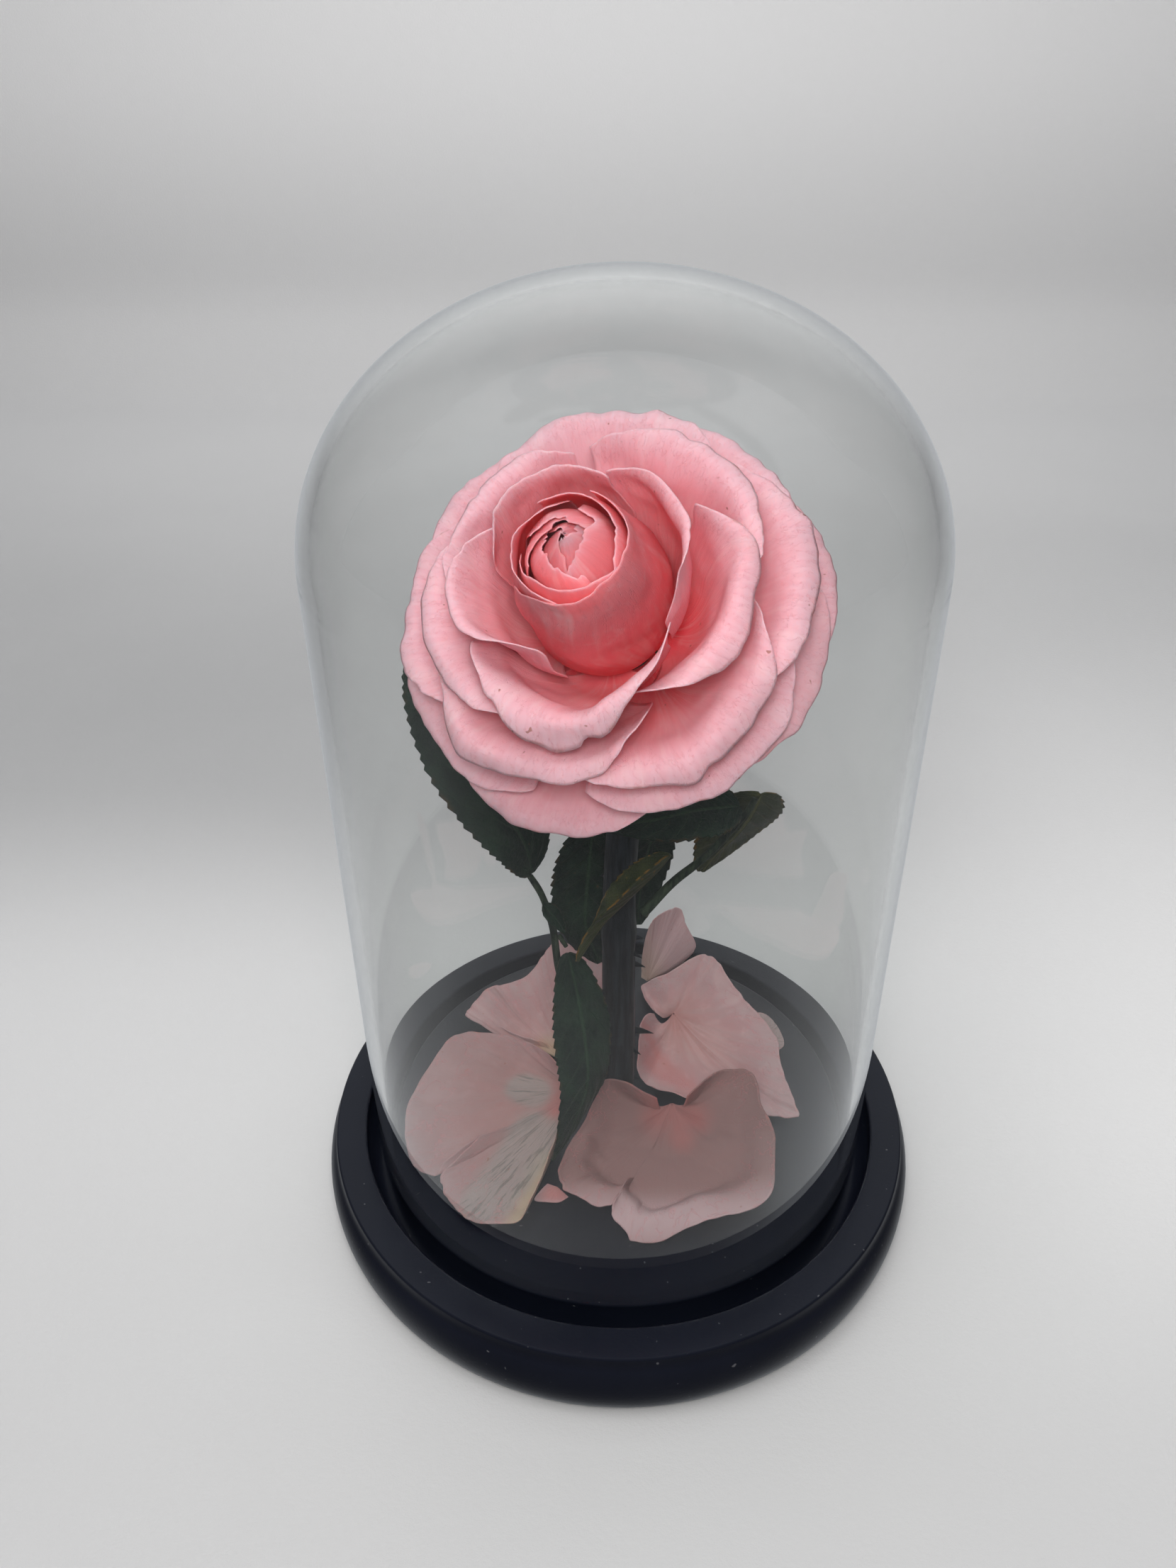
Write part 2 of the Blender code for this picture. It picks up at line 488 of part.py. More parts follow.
def make_foliage(group, helpers):
    green = material("dark_leaf", (0.02, 0.045, 0.03), 0.6)
    olive = material("olive_leaf", (0.09, 0.10, 0.035), 0.6)
    wood = material("leaf_stalk", (0.02, 0.035, 0.025), 0.6)
    for name, midrib, half_width, side_start, side_end, fold, curl, rows in LEAVES:
        finish = olive if name in ("leaf_folded_front", "leaf_right") else green
        leaf(name, midrib, half_width, side_start, side_end, fold, curl, rows, finish, group)
    for name, route, low, high in STALKS:
        count = 2 * len(route) + 1
        points = [through(route, i / (count - 1)) for i in range(count)]
        radii = [blend(low, high, i / (count - 1)) for i in range(count)]
        tube(name, points, radii, 1, wood, group)


def make_fallen_petals(group):
    faded = material("faded_petal", (0.78, 0.48, 0.48), 0.6)
    for name, claw, sag, grid, rim_points in FALLEN_PETALS:
        fallen(name, claw, sag, rim_points, grid, faded, group)


def main():
    clear_scene()
    group = collection(COLLECTION)
    helpers = collection("cutters")
    make_base(group)
    make_glass(group)
    make_stem(group, helpers)
    make_calyx(group, helpers)
    make_bloom(group)
    make_foliage(group, helpers)
    make_fallen_petals(group)


main()
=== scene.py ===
# %% [markdown]
# # A preserved rose under glass
# A dried pink rose stands in a turned black base under a clear glass bell. The bloom nods forward, dark
# leaves hang from thin stalks, and a few petals have dropped on the floor of the case. Everything is placed
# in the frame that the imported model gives, in metres, so no piece needs to be fitted afterwards.

import math
import random

import bmesh
import bpy
from mathutils import Matrix, Vector, noise


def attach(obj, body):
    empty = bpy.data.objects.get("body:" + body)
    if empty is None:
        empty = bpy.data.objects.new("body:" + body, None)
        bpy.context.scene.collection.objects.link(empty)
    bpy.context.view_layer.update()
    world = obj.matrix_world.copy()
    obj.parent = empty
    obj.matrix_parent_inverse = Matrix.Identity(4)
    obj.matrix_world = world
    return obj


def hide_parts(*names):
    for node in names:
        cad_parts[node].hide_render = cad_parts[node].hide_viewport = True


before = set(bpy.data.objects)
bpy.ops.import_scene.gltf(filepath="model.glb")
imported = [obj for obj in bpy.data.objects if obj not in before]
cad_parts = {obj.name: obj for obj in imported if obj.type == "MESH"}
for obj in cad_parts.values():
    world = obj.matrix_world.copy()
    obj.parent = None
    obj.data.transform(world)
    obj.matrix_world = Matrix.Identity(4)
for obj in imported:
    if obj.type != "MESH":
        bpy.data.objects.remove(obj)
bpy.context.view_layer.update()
MM = 0.001

# %% [markdown]
# ## Sums on sockets
# A finish is easier to read as sums than as a list of links. One small class holds an output socket, and
# every sum on it adds a Math node. A second class holds a node tree and adds any other node from its type,
# its settings and its sockets, with the settings first because some of them change which sockets exist. A
# finish is such a tree with a material round it, and the pale room round the case is one as well.


# %% Wires and finishes
class Wire:
    """An output socket that takes part in sums."""

    def __init__(self, net, socket):
        self.net = net
        self.socket = socket

    def sum(self, kind, first, second):
        return self.net.node("ShaderNodeMath", {"operation": kind}, {0: first, 1: second})

    def __add__(self, other):
        return self.sum("ADD", self, other)

    def __sub__(self, other):
        return self.sum("SUBTRACT", self, other)

    def __mul__(self, other):
        return self.sum("MULTIPLY", self, other)

    __radd__ = __add__

    def most(self, other):
        return self.sum("MAXIMUM", self, other)

    def size(self):
        return self.sum("ABSOLUTE", self, 0.0)

    def between(self, low, high):
        """0 below low, 1 above high, with a soft step from one to the other. High may be the smaller."""
        values = {"Value": self, "From Min": low, "From Max": high}
        return self.net.node("ShaderNodeMapRange", {"interpolation_type": "SMOOTHSTEP"}, values)


class NodeNet:
    """A node tree that is built up by sums on its wires."""

    def __init__(self, tree):
        self.tree = tree

    def fill(self, node, sockets):
        """Links a node's sockets to wires, or sets their values."""
        for key, value in sockets.items():
            socket = node.inputs[key]
            if isinstance(value, Wire):
                self.tree.links.new(value.socket, socket)
            elif isinstance(value, tuple) and len(value) == 3 and socket.type == "RGBA":
                socket.default_value = (*value, 1.0)
            else:
                socket.default_value = value

    def node(self, kind, settings, sockets, output=0):
        """Adds a node and gives the wire of one of its outputs."""
        made = self.tree.nodes.new(kind)
        stops = settings.get("stops")
        for key, value in settings.items():
            if key != "stops":
                setattr(made, key, value)
        if stops:
            while len(made.color_ramp.elements) < len(stops):
                made.color_ramp.elements.new(1.0)
            for element, (place, colour) in zip(made.color_ramp.elements, stops):
                element.position = place
                element.color = (*colour, 1.0)
        self.fill(made, sockets)
        return Wire(self, made.outputs[output])

    def mix(self, share, first, second):
        """A colour part of the way from the first to the second."""
        return self.node("ShaderNodeMix", {"data_type": "RGBA"}, {0: share, 6: first, 7: second}, 2)

    def ramp(self, value, stops):
        return self.node("ShaderNodeValToRGB", {"stops": stops}, {0: value})

    def noise(self, place, scale, detail=2.0, roughness=0.5):
        return self.node("ShaderNodeTexNoise", {}, {"Vector": place, "Scale": scale, "Detail": detail,
                                                    "Roughness": roughness})

    def spot(self):
        """Object coordinates, in metres."""
        return self.node("ShaderNodeTexCoord", {}, {}, 3)

    def scaled(self, place, scale, shift=(0.0, 0.0, 0.0)):
        return self.node("ShaderNodeMapping", {}, {"Vector": place, "Scale": scale, "Location": shift})

    def parts(self, place):
        """The three numbers of a place or a direction."""
        made = self.tree.nodes.new("ShaderNodeSeparateXYZ")
        self.fill(made, {0: place})
        return [Wire(self, socket) for socket in made.outputs]

    def across_and_along(self):
        """A piece's own map, and its two ways: across the blade, and along it from foot to rim."""
        place = self.node("ShaderNodeUVMap", {"uv_map": "blade"}, {})
        across, along, _ = self.parts(place)
        return place, across, along

    def value(self, name):
        """A number that the mesh carries at each point."""
        return self.node("ShaderNodeAttribute", {"attribute_name": name}, {}, 2)


class Finish(NodeNet):
    """A material with one Principled shader."""

    def __init__(self, name, **sockets):
        self.material = bpy.data.materials.new(name)
        self.material.use_nodes = True
        super().__init__(self.material.node_tree)
        self.shader = self.tree.nodes["Principled BSDF"]
        self.paint(**sockets)

    def bump(self, height, strength, distance):
        sockets = {"Height": height, "Strength": strength, "Distance": distance}
        made = self.node("ShaderNodeBump", {}, sockets)
        self.fill(self.shader, {"Normal": made})

    def paint(self, **sockets):
        self.fill(self.shader, {key.replace("_", " "): value for key, value in sockets.items()})


# %% [markdown]
# ## Petal finish
# A rose petal is palest at its rim and deepest in colour at its foot. Thin veins fan out from the foot, the
# skin is velvety, and light goes some way into it. The colour follows the petal's own map, so that it stays
# with the blade however it bends, and the veins are a noise that is stretched along it.


# %% Petal finish
def petal_finish(name, stops, vein_depth, scatter, speck_amount, faded=False):
    """A velvety petal, coloured by stops from foot to rim. A faded one also shows the masks of its mesh."""
    finish = Finish(name, Specular_IOR_Level=0.18, Subsurface_Weight=scatter,
                    Subsurface_Radius=(1.0, 0.35, 0.3), Subsurface_Scale=0.0012)
    place, across, along = finish.across_and_along()
    tone_and_shade = finish.value("tone_and_shade")
    spot = finish.spot()
    drift = finish.noise(spot, 90.0, 3.0)
    reach = along + (drift - 0.5) * 0.18 + (tone_and_shade - 0.5) * 0.30
    colour = finish.ramp(reach, stops)
    fan = finish.noise(finish.scaled(place, (46.0, 2.2, 1.0)), 1.0, 4.0, 0.6)
    wide_fan = finish.noise(finish.scaled(place, (15.0, 1.6, 1.0), (3.0, 1.0, 0.0)), 1.0, 2.0, 0.5)
    colour = finish.mix(fan.between(0.62, 0.40) * 0.10, colour, (0.72, 0.12, 0.14))
    colour = finish.mix(wide_fan.between(0.50, 0.72) * 0.14, colour, (0.98, 0.72, 0.72))
    cloud = finish.noise(spot, 420.0, 4.0, 0.65)
    colour = finish.mix(cloud.between(0.52, 0.70) * 0.10, colour, (0.96, 0.68, 0.68))
    if faded:
        # On a shed petal a low tone darkens the whole petal, as painted shade.
        colour = finish.mix(tone_and_shade, (0.29, 0.165, 0.160), colour)
        streaks = finish.noise(finish.scaled(place, (105.0, 4.0, 1.0)), 1.0, 4.0, 0.7)
        colour = finish.mix(finish.value("blush") * (0.15 + drift * 0.5), colour, (0.56, 0.15, 0.14))
        colour = finish.mix(finish.value("sallow") * 0.65, colour, (0.47, 0.38, 0.25))
        # The next mask paints light: it lightens the back shed petal and the lip of the front one.
        colour = finish.mix(finish.value("painted_light") * 0.85, colour, (0.57, 0.40, 0.42))
        bare = finish.value("bare")
        colour = finish.mix(bare.between(0.05, 0.55) * 0.65, colour, (0.33, 0.30, 0.285))
        colour = finish.mix(bare.between(0.10, 0.60) * streaks.between(0.50, 0.38) * 0.50, colour,
                            (0.09, 0.095, 0.088))
    else:
        colour = finish.mix(tone_and_shade.between(0.70, 1.0) * 0.65, colour, (0.64, 0.33, 0.37))
    specks = finish.noise(spot, 760.0, 1.0, 0.3).between(0.775, 0.81)
    colour = finish.mix(specks * speck_amount, colour, (0.30, 0.12, 0.08))
    worn_rim = finish.noise(spot, 260.0, 2.0).between(0.60, 0.70) * along.between(0.97, 1.0)
    colour = finish.mix(worn_rim * 0.5, colour, (0.50, 0.20, 0.16))
    grain = finish.noise(spot, 3200.0, 2.0, 0.6)
    strands = finish.noise(finish.scaled(place, (34.0, 5.0, 1.0), (7.0, 2.0, 0.0)), 1.0, 3.0, 0.6)
    creases = (strands - 0.5).size().between(0.022, 0.0) * along.between(0.55, 0.85)
    # The creases are dented by the bump below, and their colour is darkened as well: painted shade in the
    # creases.
    colour = finish.mix(creases * 0.20, colour, (0.80, 0.24, 0.26))
    height = fan * vein_depth + wide_fan * vein_depth * 0.8 + cloud * 0.30 + grain * 0.16 - creases * 0.8
    finish.paint(Base_Color=colour, Roughness=0.50 + cloud * 0.16)
    finish.bump(height, 0.40, 0.0004)
    return finish.material


PINK_STOPS = ((0.0, (0.90, 0.04, 0.06)), (0.24, (0.96, 0.20, 0.23)), (0.42, (0.95, 0.34, 0.39)),
              (0.68, (0.90, 0.40, 0.46)), (1.0, (0.82, 0.46, 0.53)))
CORAL_STOPS = ((0.0, (0.90, 0.03, 0.04)), (0.50, (0.97, 0.12, 0.14)), (0.86, (0.97, 0.19, 0.22)),
               (0.95, (0.96, 0.26, 0.30)), (1.0, (0.92, 0.36, 0.42)))
FADED_STOPS = ((0.0, (0.50, 0.22, 0.20)), (0.25, (0.50, 0.28, 0.27)), (0.85, (0.50, 0.32, 0.33)),
               (1.0, (0.54, 0.38, 0.39)))
PETAL_PINK = petal_finish("petal_pink", PINK_STOPS, vein_depth=0.9, scatter=0.45, speck_amount=0.7)
PETAL_CORAL = petal_finish("petal_coral", CORAL_STOPS, vein_depth=0.4, scatter=0.75, speck_amount=0.2)
FADED_PETAL = petal_finish("faded_petal", FADED_STOPS, vein_depth=0.9, scatter=0.15, speck_amount=0.5,
                           faded=True)

# %% [markdown]
# ## Leaf finish
# Preserved rose leaves are nearly black green and a little leathery. A paler midrib and side veins cross
# the blade, its toothed edge is brown in places, and old leaves turn olive. Side veins leave the midrib at
# an angle, so they are waves over a sum of the two ways of the map, which gives the herringbone.


# %% Leaf finish
SIDE_VEINS = 8.5
VEIN_SLANT = 1.9


def leaf_finish(name, dark, light, edge):
    """A leathery leaf that is mottled from dark to light and worn to the edge colour along its rim."""
    finish = Finish(name, Specular_IOR_Level=0.14)
    place, across, along = finish.across_and_along()
    spot = finish.spot()
    side = (across - 0.5).size() * 2.0
    wobble = finish.noise(spot, 240.0, 2.0)
    slant = along * SIDE_VEINS - side * VEIN_SLANT + wobble * 0.35
    wave = finish.node("ShaderNodeMath", {"operation": "PINGPONG"}, {0: slant, 1: 0.5})
    veins = wave.between(0.07, 0.0) * side.between(1.0, 0.7)
    midrib = side.between(0.07, 0.02)
    lines = veins * 0.55 + midrib
    small = finish.node("ShaderNodeTexVoronoi", {"feature": "DISTANCE_TO_EDGE"},
                        {"Vector": spot, "Scale": 900.0})
    blotch = finish.noise(spot, 130.0, 3.0, 0.6)
    colour = finish.mix(blotch.between(0.35, 0.7), dark, light)
    colour = finish.mix(lines * 0.45, colour, (light[0] * 2.2, light[1] * 2.0, light[2] * 1.7))
    tired = finish.noise(spot, 310.0, 2.0).between(0.48, 0.62) * side.between(0.86, 1.0)
    colour = finish.mix(tired * 0.7, colour, edge)
    colour = finish.mix(finish.noise(spot, 520.0, 1.0).between(0.74, 0.80) * 0.8, colour, edge)
    grain = finish.noise(spot, 2600.0, 2.0)
    height = small.between(0.0, 0.10) * 0.35 - lines * 0.8 + blotch * 0.5 + grain * 0.12
    finish.paint(Base_Color=colour, Roughness=0.42 + blotch * 0.3)
    finish.bump(height, 0.6, 0.0004)
    return finish.material


DARK_LEAF = leaf_finish("dark_leaf", (0.005, 0.013, 0.009), (0.013, 0.030, 0.018), (0.05, 0.03, 0.012))
OLIVE_LEAF = leaf_finish("olive_leaf", (0.018, 0.026, 0.010), (0.048, 0.055, 0.020), (0.22, 0.11, 0.02))


# %% [markdown]
# ## Stem, calyx and stalk finish
# The dyed stem is blue black with fine lengthwise ridges, and the calyx and the stalks are dark green and
# dry. One maker serves them all, with a noise that is stretched along the height.


# %% Bark
def bark_finish(name, dark, light, roughness):
    """Ridged bark or a dry stalk, mottled from dark to light."""
    finish = Finish(name, Specular_IOR_Level=0.14)
    spot = finish.spot()
    ridges = finish.noise(finish.scaled(spot, (900.0, 900.0, 70.0)), 1.0, 3.0, 0.6)
    blotch = finish.noise(spot, 160.0, 3.0)
    colour = finish.mix(ridges.between(0.4, 0.66) * 0.7 + blotch.between(0.5, 0.7) * 0.3, dark, light)
    finish.paint(Base_Color=colour, Roughness=roughness - 0.1 + blotch * 0.25)
    finish.bump(ridges * 0.8 + blotch * 0.4, 0.7, 0.0004)
    return finish.material


DARK_STEM = bark_finish("dark_stem", (0.004, 0.005, 0.007), (0.020, 0.025, 0.032), 0.5)
LEAF_STALK = bark_finish("leaf_stalk", (0.006, 0.012, 0.008), (0.035, 0.050, 0.030), 0.55)
CALYX_GREEN = bark_finish("calyx_green", (0.016, 0.030, 0.014), (0.060, 0.085, 0.040), 0.6)

# %% [markdown]
# ## Lacquer and glass
# The base is turned wood in satin black lacquer: nearly black, with a soft gloss that varies a little where
# it was rubbed, and a few specks of dust. The bell is plain clear glass with a faint green grey tint. Rays
# that only carry light to what is inside pass straight through it, because a refracting wall would
# otherwise throw the inside into noise.

# %% Lacquer and glass
lacquer = Finish("black_lacquer", Specular_IOR_Level=0.42)
spot = lacquer.spot()
rubbed = lacquer.noise(spot, 55.0, 3.0, 0.6)
fine = lacquer.noise(spot, 1400.0, 2.0, 0.5)
dust = lacquer.noise(spot, 900.0, 1.0, 0.2).between(0.79, 0.82)
lacquer_colour = lacquer.mix(rubbed, (0.0040, 0.0050, 0.0100), (0.0075, 0.0090, 0.0165))
lacquer.paint(Base_Color=lacquer.mix(dust * 0.5, lacquer_colour, (0.16, 0.16, 0.17)),
              Roughness=0.26 + rubbed * 0.16 + fine * 0.05)
lacquer.bump(fine * 0.5 + rubbed, 0.12, 0.0004)
BLACK_LACQUER = lacquer.material

glass = Finish("clear_glass", Base_Color=(1.0, 1.0, 1.0), Roughness=0.0, IOR=1.50, Transmission_Weight=1.0)
absorbing = glass.node("ShaderNodeVolumeAbsorption", {}, {"Color": (0.20, 0.30, 0.25), "Density": 26.0})
shadow_ray = glass.node("ShaderNodeLightPath", {}, {}, "Is Shadow Ray")
diffuse_ray = glass.node("ShaderNodeLightPath", {}, {}, "Is Diffuse Ray")
passing = glass.node("ShaderNodeBsdfTransparent", {}, {"Color": (0.93, 0.945, 0.94)})
shown = glass.node("ShaderNodeMixShader", {}, {0: shadow_ray.most(diffuse_ray),
                                               1: Wire(glass, glass.shader.outputs[0]), 2: passing})
glass.fill(glass.tree.nodes["Material Output"], {"Surface": shown, "Volume": absorbing})
CLEAR_GLASS = glass.material

# %% [markdown]
# ## Shared shapes
# Curves are steered by a few points: a Bezier curve pulls towards them, and a smooth curve goes through
# them. A thin blade is a flat grid whose points are moved on to its form, and a round one is a grid that is
# wrapped round its path and welded along the seam.


# %% Curves and grids
def blend(low, high, share):
    """Straight from low to high."""
    return low + (high - low) * share


def ease(share):
    """Softly from 0 to 1, and flat outside."""
    share = min(max(share, 0.0), 1.0)
    return share * share * (3.0 - 2.0 * share)


def bezier(points, share):
    """Point at a share of the way along the curve that the points steer."""
    while len(points) > 1:
        points = [(a[0] + (b[0] - a[0]) * share, a[1] + (b[1] - a[1]) * share)
                  for a, b in zip(points, points[1:])]
    return points[0]


def through(points, share):
    """Point at a share of the way along a smooth curve that passes through every point."""
    place_along = share * (len(points) - 1)
    first = min(int(place_along), len(points) - 2)
    t = place_along - first
    start, end = Vector(points[first]), Vector(points[first + 1])
    before = Vector(points[max(first - 1, 0)])
    after = Vector(points[min(first + 2, len(points) - 1)])
    return 0.5 * ((2 * start) + (end - before) * t + (2 * before - 5 * start + 4 * end - after) * t * t
                  + (3 * start - before - 3 * end + after) * t * t * t)


def drifting(*place):
    """A smooth number from about -1 to 1 that varies from place to place."""
    return noise.noise(Vector((*place, 0.0, 0.0)[:3]))


def placed(net, name, finish):
    """Turns a bmesh into an object in the scene."""
    mesh = bpy.data.meshes.new(name)
    net.to_mesh(mesh)
    net.free()
    mesh.shade_smooth()
    mesh.materials.append(finish)
    piece = bpy.data.objects.new(name, mesh)
    bpy.context.scene.collection.objects.link(piece)
    return piece


def settle(net, name, finish, slot, *nodes):
    """A finished piece of the object that stands for its solids."""
    piece = placed(net, name, finish)
    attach(piece, "root")
    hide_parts(*nodes)
    return piece


def blade_net(columns, rows, shape, tone_and_shade=0.5):
    """A grid in the form that shape gives, with a map of the blade and one value for its colour, which on a
    shed petal is also painted shade.
    """
    net = bmesh.new()
    bmesh.ops.create_grid(net, x_segments=columns, y_segments=rows, size=1.0)
    blade_map = net.loops.layers.uv.new("blade")
    for face in net.faces:
        for corner in face.loops:
            corner[blade_map].uv = (corner.vert.co.x / 2 + 0.5, corner.vert.co.y / 2 + 0.5)
    tones = net.verts.layers.float.new("tone_and_shade")
    for point in net.verts:
        point[tones] = tone_and_shade
        point.co = shape(point.co.x, point.co.y / 2 + 0.5) * MM
    return net


def thicken(piece, thickness):
    """Gives a blade its thickness, half of it on each side."""
    wall = piece.modifiers.new("Thickness", "SOLIDIFY")
    wall.thickness = thickness * MM
    wall.offset = 0.0


def tube_net(path, radius, sides, rings):
    """A closed round bar: a grid wrapped round the path, welded along its seam and capped."""
    net = bmesh.new()
    bmesh.ops.create_grid(net, x_segments=sides, y_segments=rings, size=1.0)
    for point in net.verts:
        turn, along = math.pi * point.co.x, point.co.y / 2 + 0.5
        centre = path(along)
        ahead = (path(min(along + 0.01, 1.0)) - path(max(along - 0.01, 0.0))).normalized()
        side = ahead.cross(Vector((0.0, 1.0, 0.0))).normalized()
        other = side.cross(ahead)
        reach = radius(turn, along)
        point.co = (centre + (side * math.cos(turn) + other * math.sin(turn)) * reach) * MM
    bmesh.ops.remove_doubles(net, verts=net.verts, dist=0.000005)
    bmesh.ops.holes_fill(net, edges=net.edges, sides=sides + 1)
    bmesh.ops.recalc_face_normals(net, faces=net.faces)
    return net


# %% [markdown]
# ## Base and bell
# Both are solids of revolution, so each is a profile of points that is spun round the upright axis. The
# base has a groove that the glass drops into, a step below its top and a bulging side. Small rounds on most
# edges catch thin lines of light.

# %% Turned pieces
GLASS_RADIUS = 57.5
GLASS_WALL = 2.5
GLASS_HEIGHT = 199.0
GLASS_SHOULDER_HEIGHT = 151.4
GLASS_FOOT = 5.8
BASE_RADIUS = 70.0
BASE_TOP = 17.0
GROOVE_FLOOR = 5.5
GROOVE_INNER_RADIUS = 54.6
GROOVE_OUTER_RADIUS = 60.6
RING_EDGE_RADIUS = 67.8
STEP_HEIGHT = 15.3
FOOT_RADIUS = 66.0
STEM_HOLE_RADIUS = 4.1
STEM_HOLE_FLOOR = 9.0
STEM_HOLE_BEVEL = 0.3
EDGE_ROUND = 0.6
GROOVE_ROUND = 0.7
RIM_ROUND = 1.1
WALL_HEIGHTS = (130, 95, 60, 30)
BASE_STEPS = 160
GLASS_STEPS = 144


def arc(centre, radii, start, end, count):
    """Points on an ellipse's arc, angles in degrees from +X towards +Z."""
    angles = [math.radians(blend(start, end, i / count)) for i in range(count + 1)]
    return [(centre[0] + radii[0] * math.cos(a), centre[1] + radii[1] * math.sin(a)) for a in angles]


def turned_net(profile, steps):
    """A profile of radius and height, spun round the upright axis."""
    net = bmesh.new()
    points = [net.verts.new((radius * MM, 0.0, height * MM)) for radius, height in profile]
    edges = [net.edges.new(pair) for pair in zip(points, points[1:])]
    bmesh.ops.spin(net, geom=points + edges, axis=(0, 0, 1), cent=(0, 0, 0), steps=steps,
                   angle=math.tau, use_merge=True)
    bmesh.ops.remove_doubles(net, verts=net.verts, dist=0.000002)
    bmesh.ops.recalc_face_normals(net, faces=net.faces)
    return net


def rounded(centre, radius, start, end, count=4):
    """A small round along an edge, as an arc of points."""
    return arc(centre, (radius, radius), start, end, count)


middle = STEP_HEIGHT / 2
profile = [(0, STEM_HOLE_FLOOR), (STEM_HOLE_RADIUS, STEM_HOLE_FLOOR),
           (STEM_HOLE_RADIUS, BASE_TOP - STEM_HOLE_BEVEL), (STEM_HOLE_RADIUS + STEM_HOLE_BEVEL, BASE_TOP),
           (30.0, BASE_TOP)]
profile += rounded((GROOVE_INNER_RADIUS - EDGE_ROUND, BASE_TOP - EDGE_ROUND), EDGE_ROUND, 90, 0)
profile += [(GROOVE_INNER_RADIUS, GROOVE_FLOOR), (GROOVE_OUTER_RADIUS, GROOVE_FLOOR)]
profile += rounded((GROOVE_OUTER_RADIUS + GROOVE_ROUND, BASE_TOP - GROOVE_ROUND), GROOVE_ROUND, 180, 90)
profile += rounded((RING_EDGE_RADIUS - EDGE_ROUND, BASE_TOP - EDGE_ROUND), EDGE_ROUND, 90, 0)
profile += [(RING_EDGE_RADIUS + 0.02, STEP_HEIGHT + 0.25)]
profile += arc((FOOT_RADIUS, middle), (BASE_RADIUS - FOOT_RADIUS, middle), 58, -84, 22)
profile += [(FOOT_RADIUS - 0.8, 0.0), (0, 0)]
base = settle(turned_net(profile, BASE_STEPS), "black_base", BLACK_LACQUER, "black_lacquer", "base")

top = GLASS_FOOT + GLASS_HEIGHT
shoulder = GLASS_FOOT + GLASS_SHOULDER_HEIGHT
inner = GLASS_RADIUS - GLASS_WALL
profile = arc((0, shoulder), (GLASS_RADIUS, top - shoulder), 90, 0, 40)
profile += [(GLASS_RADIUS, height) for height in WALL_HEIGHTS]
profile += rounded((GLASS_RADIUS - RIM_ROUND, GLASS_FOOT + RIM_ROUND), RIM_ROUND, 0, -90, 5)
profile += rounded((inner + RIM_ROUND, GLASS_FOOT + RIM_ROUND), RIM_ROUND, -90, -180, 5)
profile += [(inner, height) for height in reversed(WALL_HEIGHTS)]
profile += arc((0, shoulder), (inner, top - GLASS_WALL - shoulder), 0, 90, 40)
# Both ends lie exactly on the axis, so that the crown is welded shut.
profile[0] = (0, top)
profile[-1] = (0, top - GLASS_WALL)
bell = settle(turned_net(profile, GLASS_STEPS), "glass_bell", CLEAR_GLASS, "clear_glass", "glass_dome")
print("base and bell", len(base.data.polygons), len(bell.data.polygons))

# %% [markdown]
# ## The bloom
# The petals stand round the bloom's own axis. Each lies on a layer, a curve of radius and height from the
# petal's foot to its rim, and the layers are blended from six of them. Neighbours share the broad waves and
# the roll of their rims, so that they lie close and hardly cross. The outline and a fine ripple of each rim
# are its own.

# %% Layers
BLOOM_CENTRE = Vector((-0.4, -9.2, 145.8))
BLOOM_AXIS = Vector((-0.21, -0.69, 0.69)).normalized()
BLOOM_RIGHT = (Vector((1.0, 0.0, 0.0)) - BLOOM_AXIS * BLOOM_AXIS.x).normalized()
BLOOM_UP = BLOOM_AXIS.cross(BLOOM_RIGHT)
LAYER_CURVES = (
    (0.00, ((1.0, 12.0), (2.0, 16.0), (2.6, 26.0), (2.2, 35.0), (0.9, 41.0))),
    (0.30, ((4.0, 8.5), (14.0, 2.0), (14.5, 16.0), (10.3, 30.0), (8.6, 40.0))),
    (0.45, ((5.5, 6.0), (15.0, 1.0), (19.5, 16.0), (19.0, 34.0), (26.0, 27.0))),
    (0.65, ((6.5, 4.0), (20.0, 4.0), (26.0, 13.0), (28.5, 23.0), (34.8, 17.0))),
    (0.85, ((7.5, 2.0), (22.0, 2.0), (29.0, 7.0), (34.0, 11.0), (37.5, 8.0))),
    (1.00, ((8.0, 0.5), (22.0, -3.0), (31.0, -1.0), (35.0, 3.0), (38.5, 0.0))),
)


def bloom_point(radius, azimuth, height):
    """A place in the bloom's own round frame, with the azimuth in degrees."""
    turn = math.radians(azimuth)
    return (BLOOM_CENTRE + (BLOOM_RIGHT * math.cos(turn) + BLOOM_UP * math.sin(turn)) * radius
            + BLOOM_AXIS * height)


# The bud has layers of its own, which lie close together and bend in over the heart.
BUD_CURVES = (
    (0.00, ((0.5, 14.0), (3.0, 18.0), (4.0, 28.0), (2.4, 38.4), (-0.9, 39.4))),
    (0.12, ((2.0, 11.0), (9.0, 10.0), (9.4, 22.0), (6.6, 37.2), (1.7, 38.8))),
    (0.21, ((3.0, 9.5), (11.6, 7.0), (12.0, 19.0), (9.4, 36.2), (4.9, 39.2))),
    (0.31, ((4.0, 8.5), (14.0, 2.0), (14.5, 16.0), (10.3, 30.0), (8.6, 40.0))),
)


def layer_curve(layer, curves=LAYER_CURVES):
    """The curve of a layer, blended from the two rows of the table on both sides of it."""
    for (low, inner_row), (high, outer_row) in zip(curves, curves[1:]):
        if layer <= high:
            break
    share = (layer - low) / (high - low)
    return [(blend(a[0], b[0], share), blend(a[1], b[1], share)) for a, b in zip(inner_row, outer_row)]


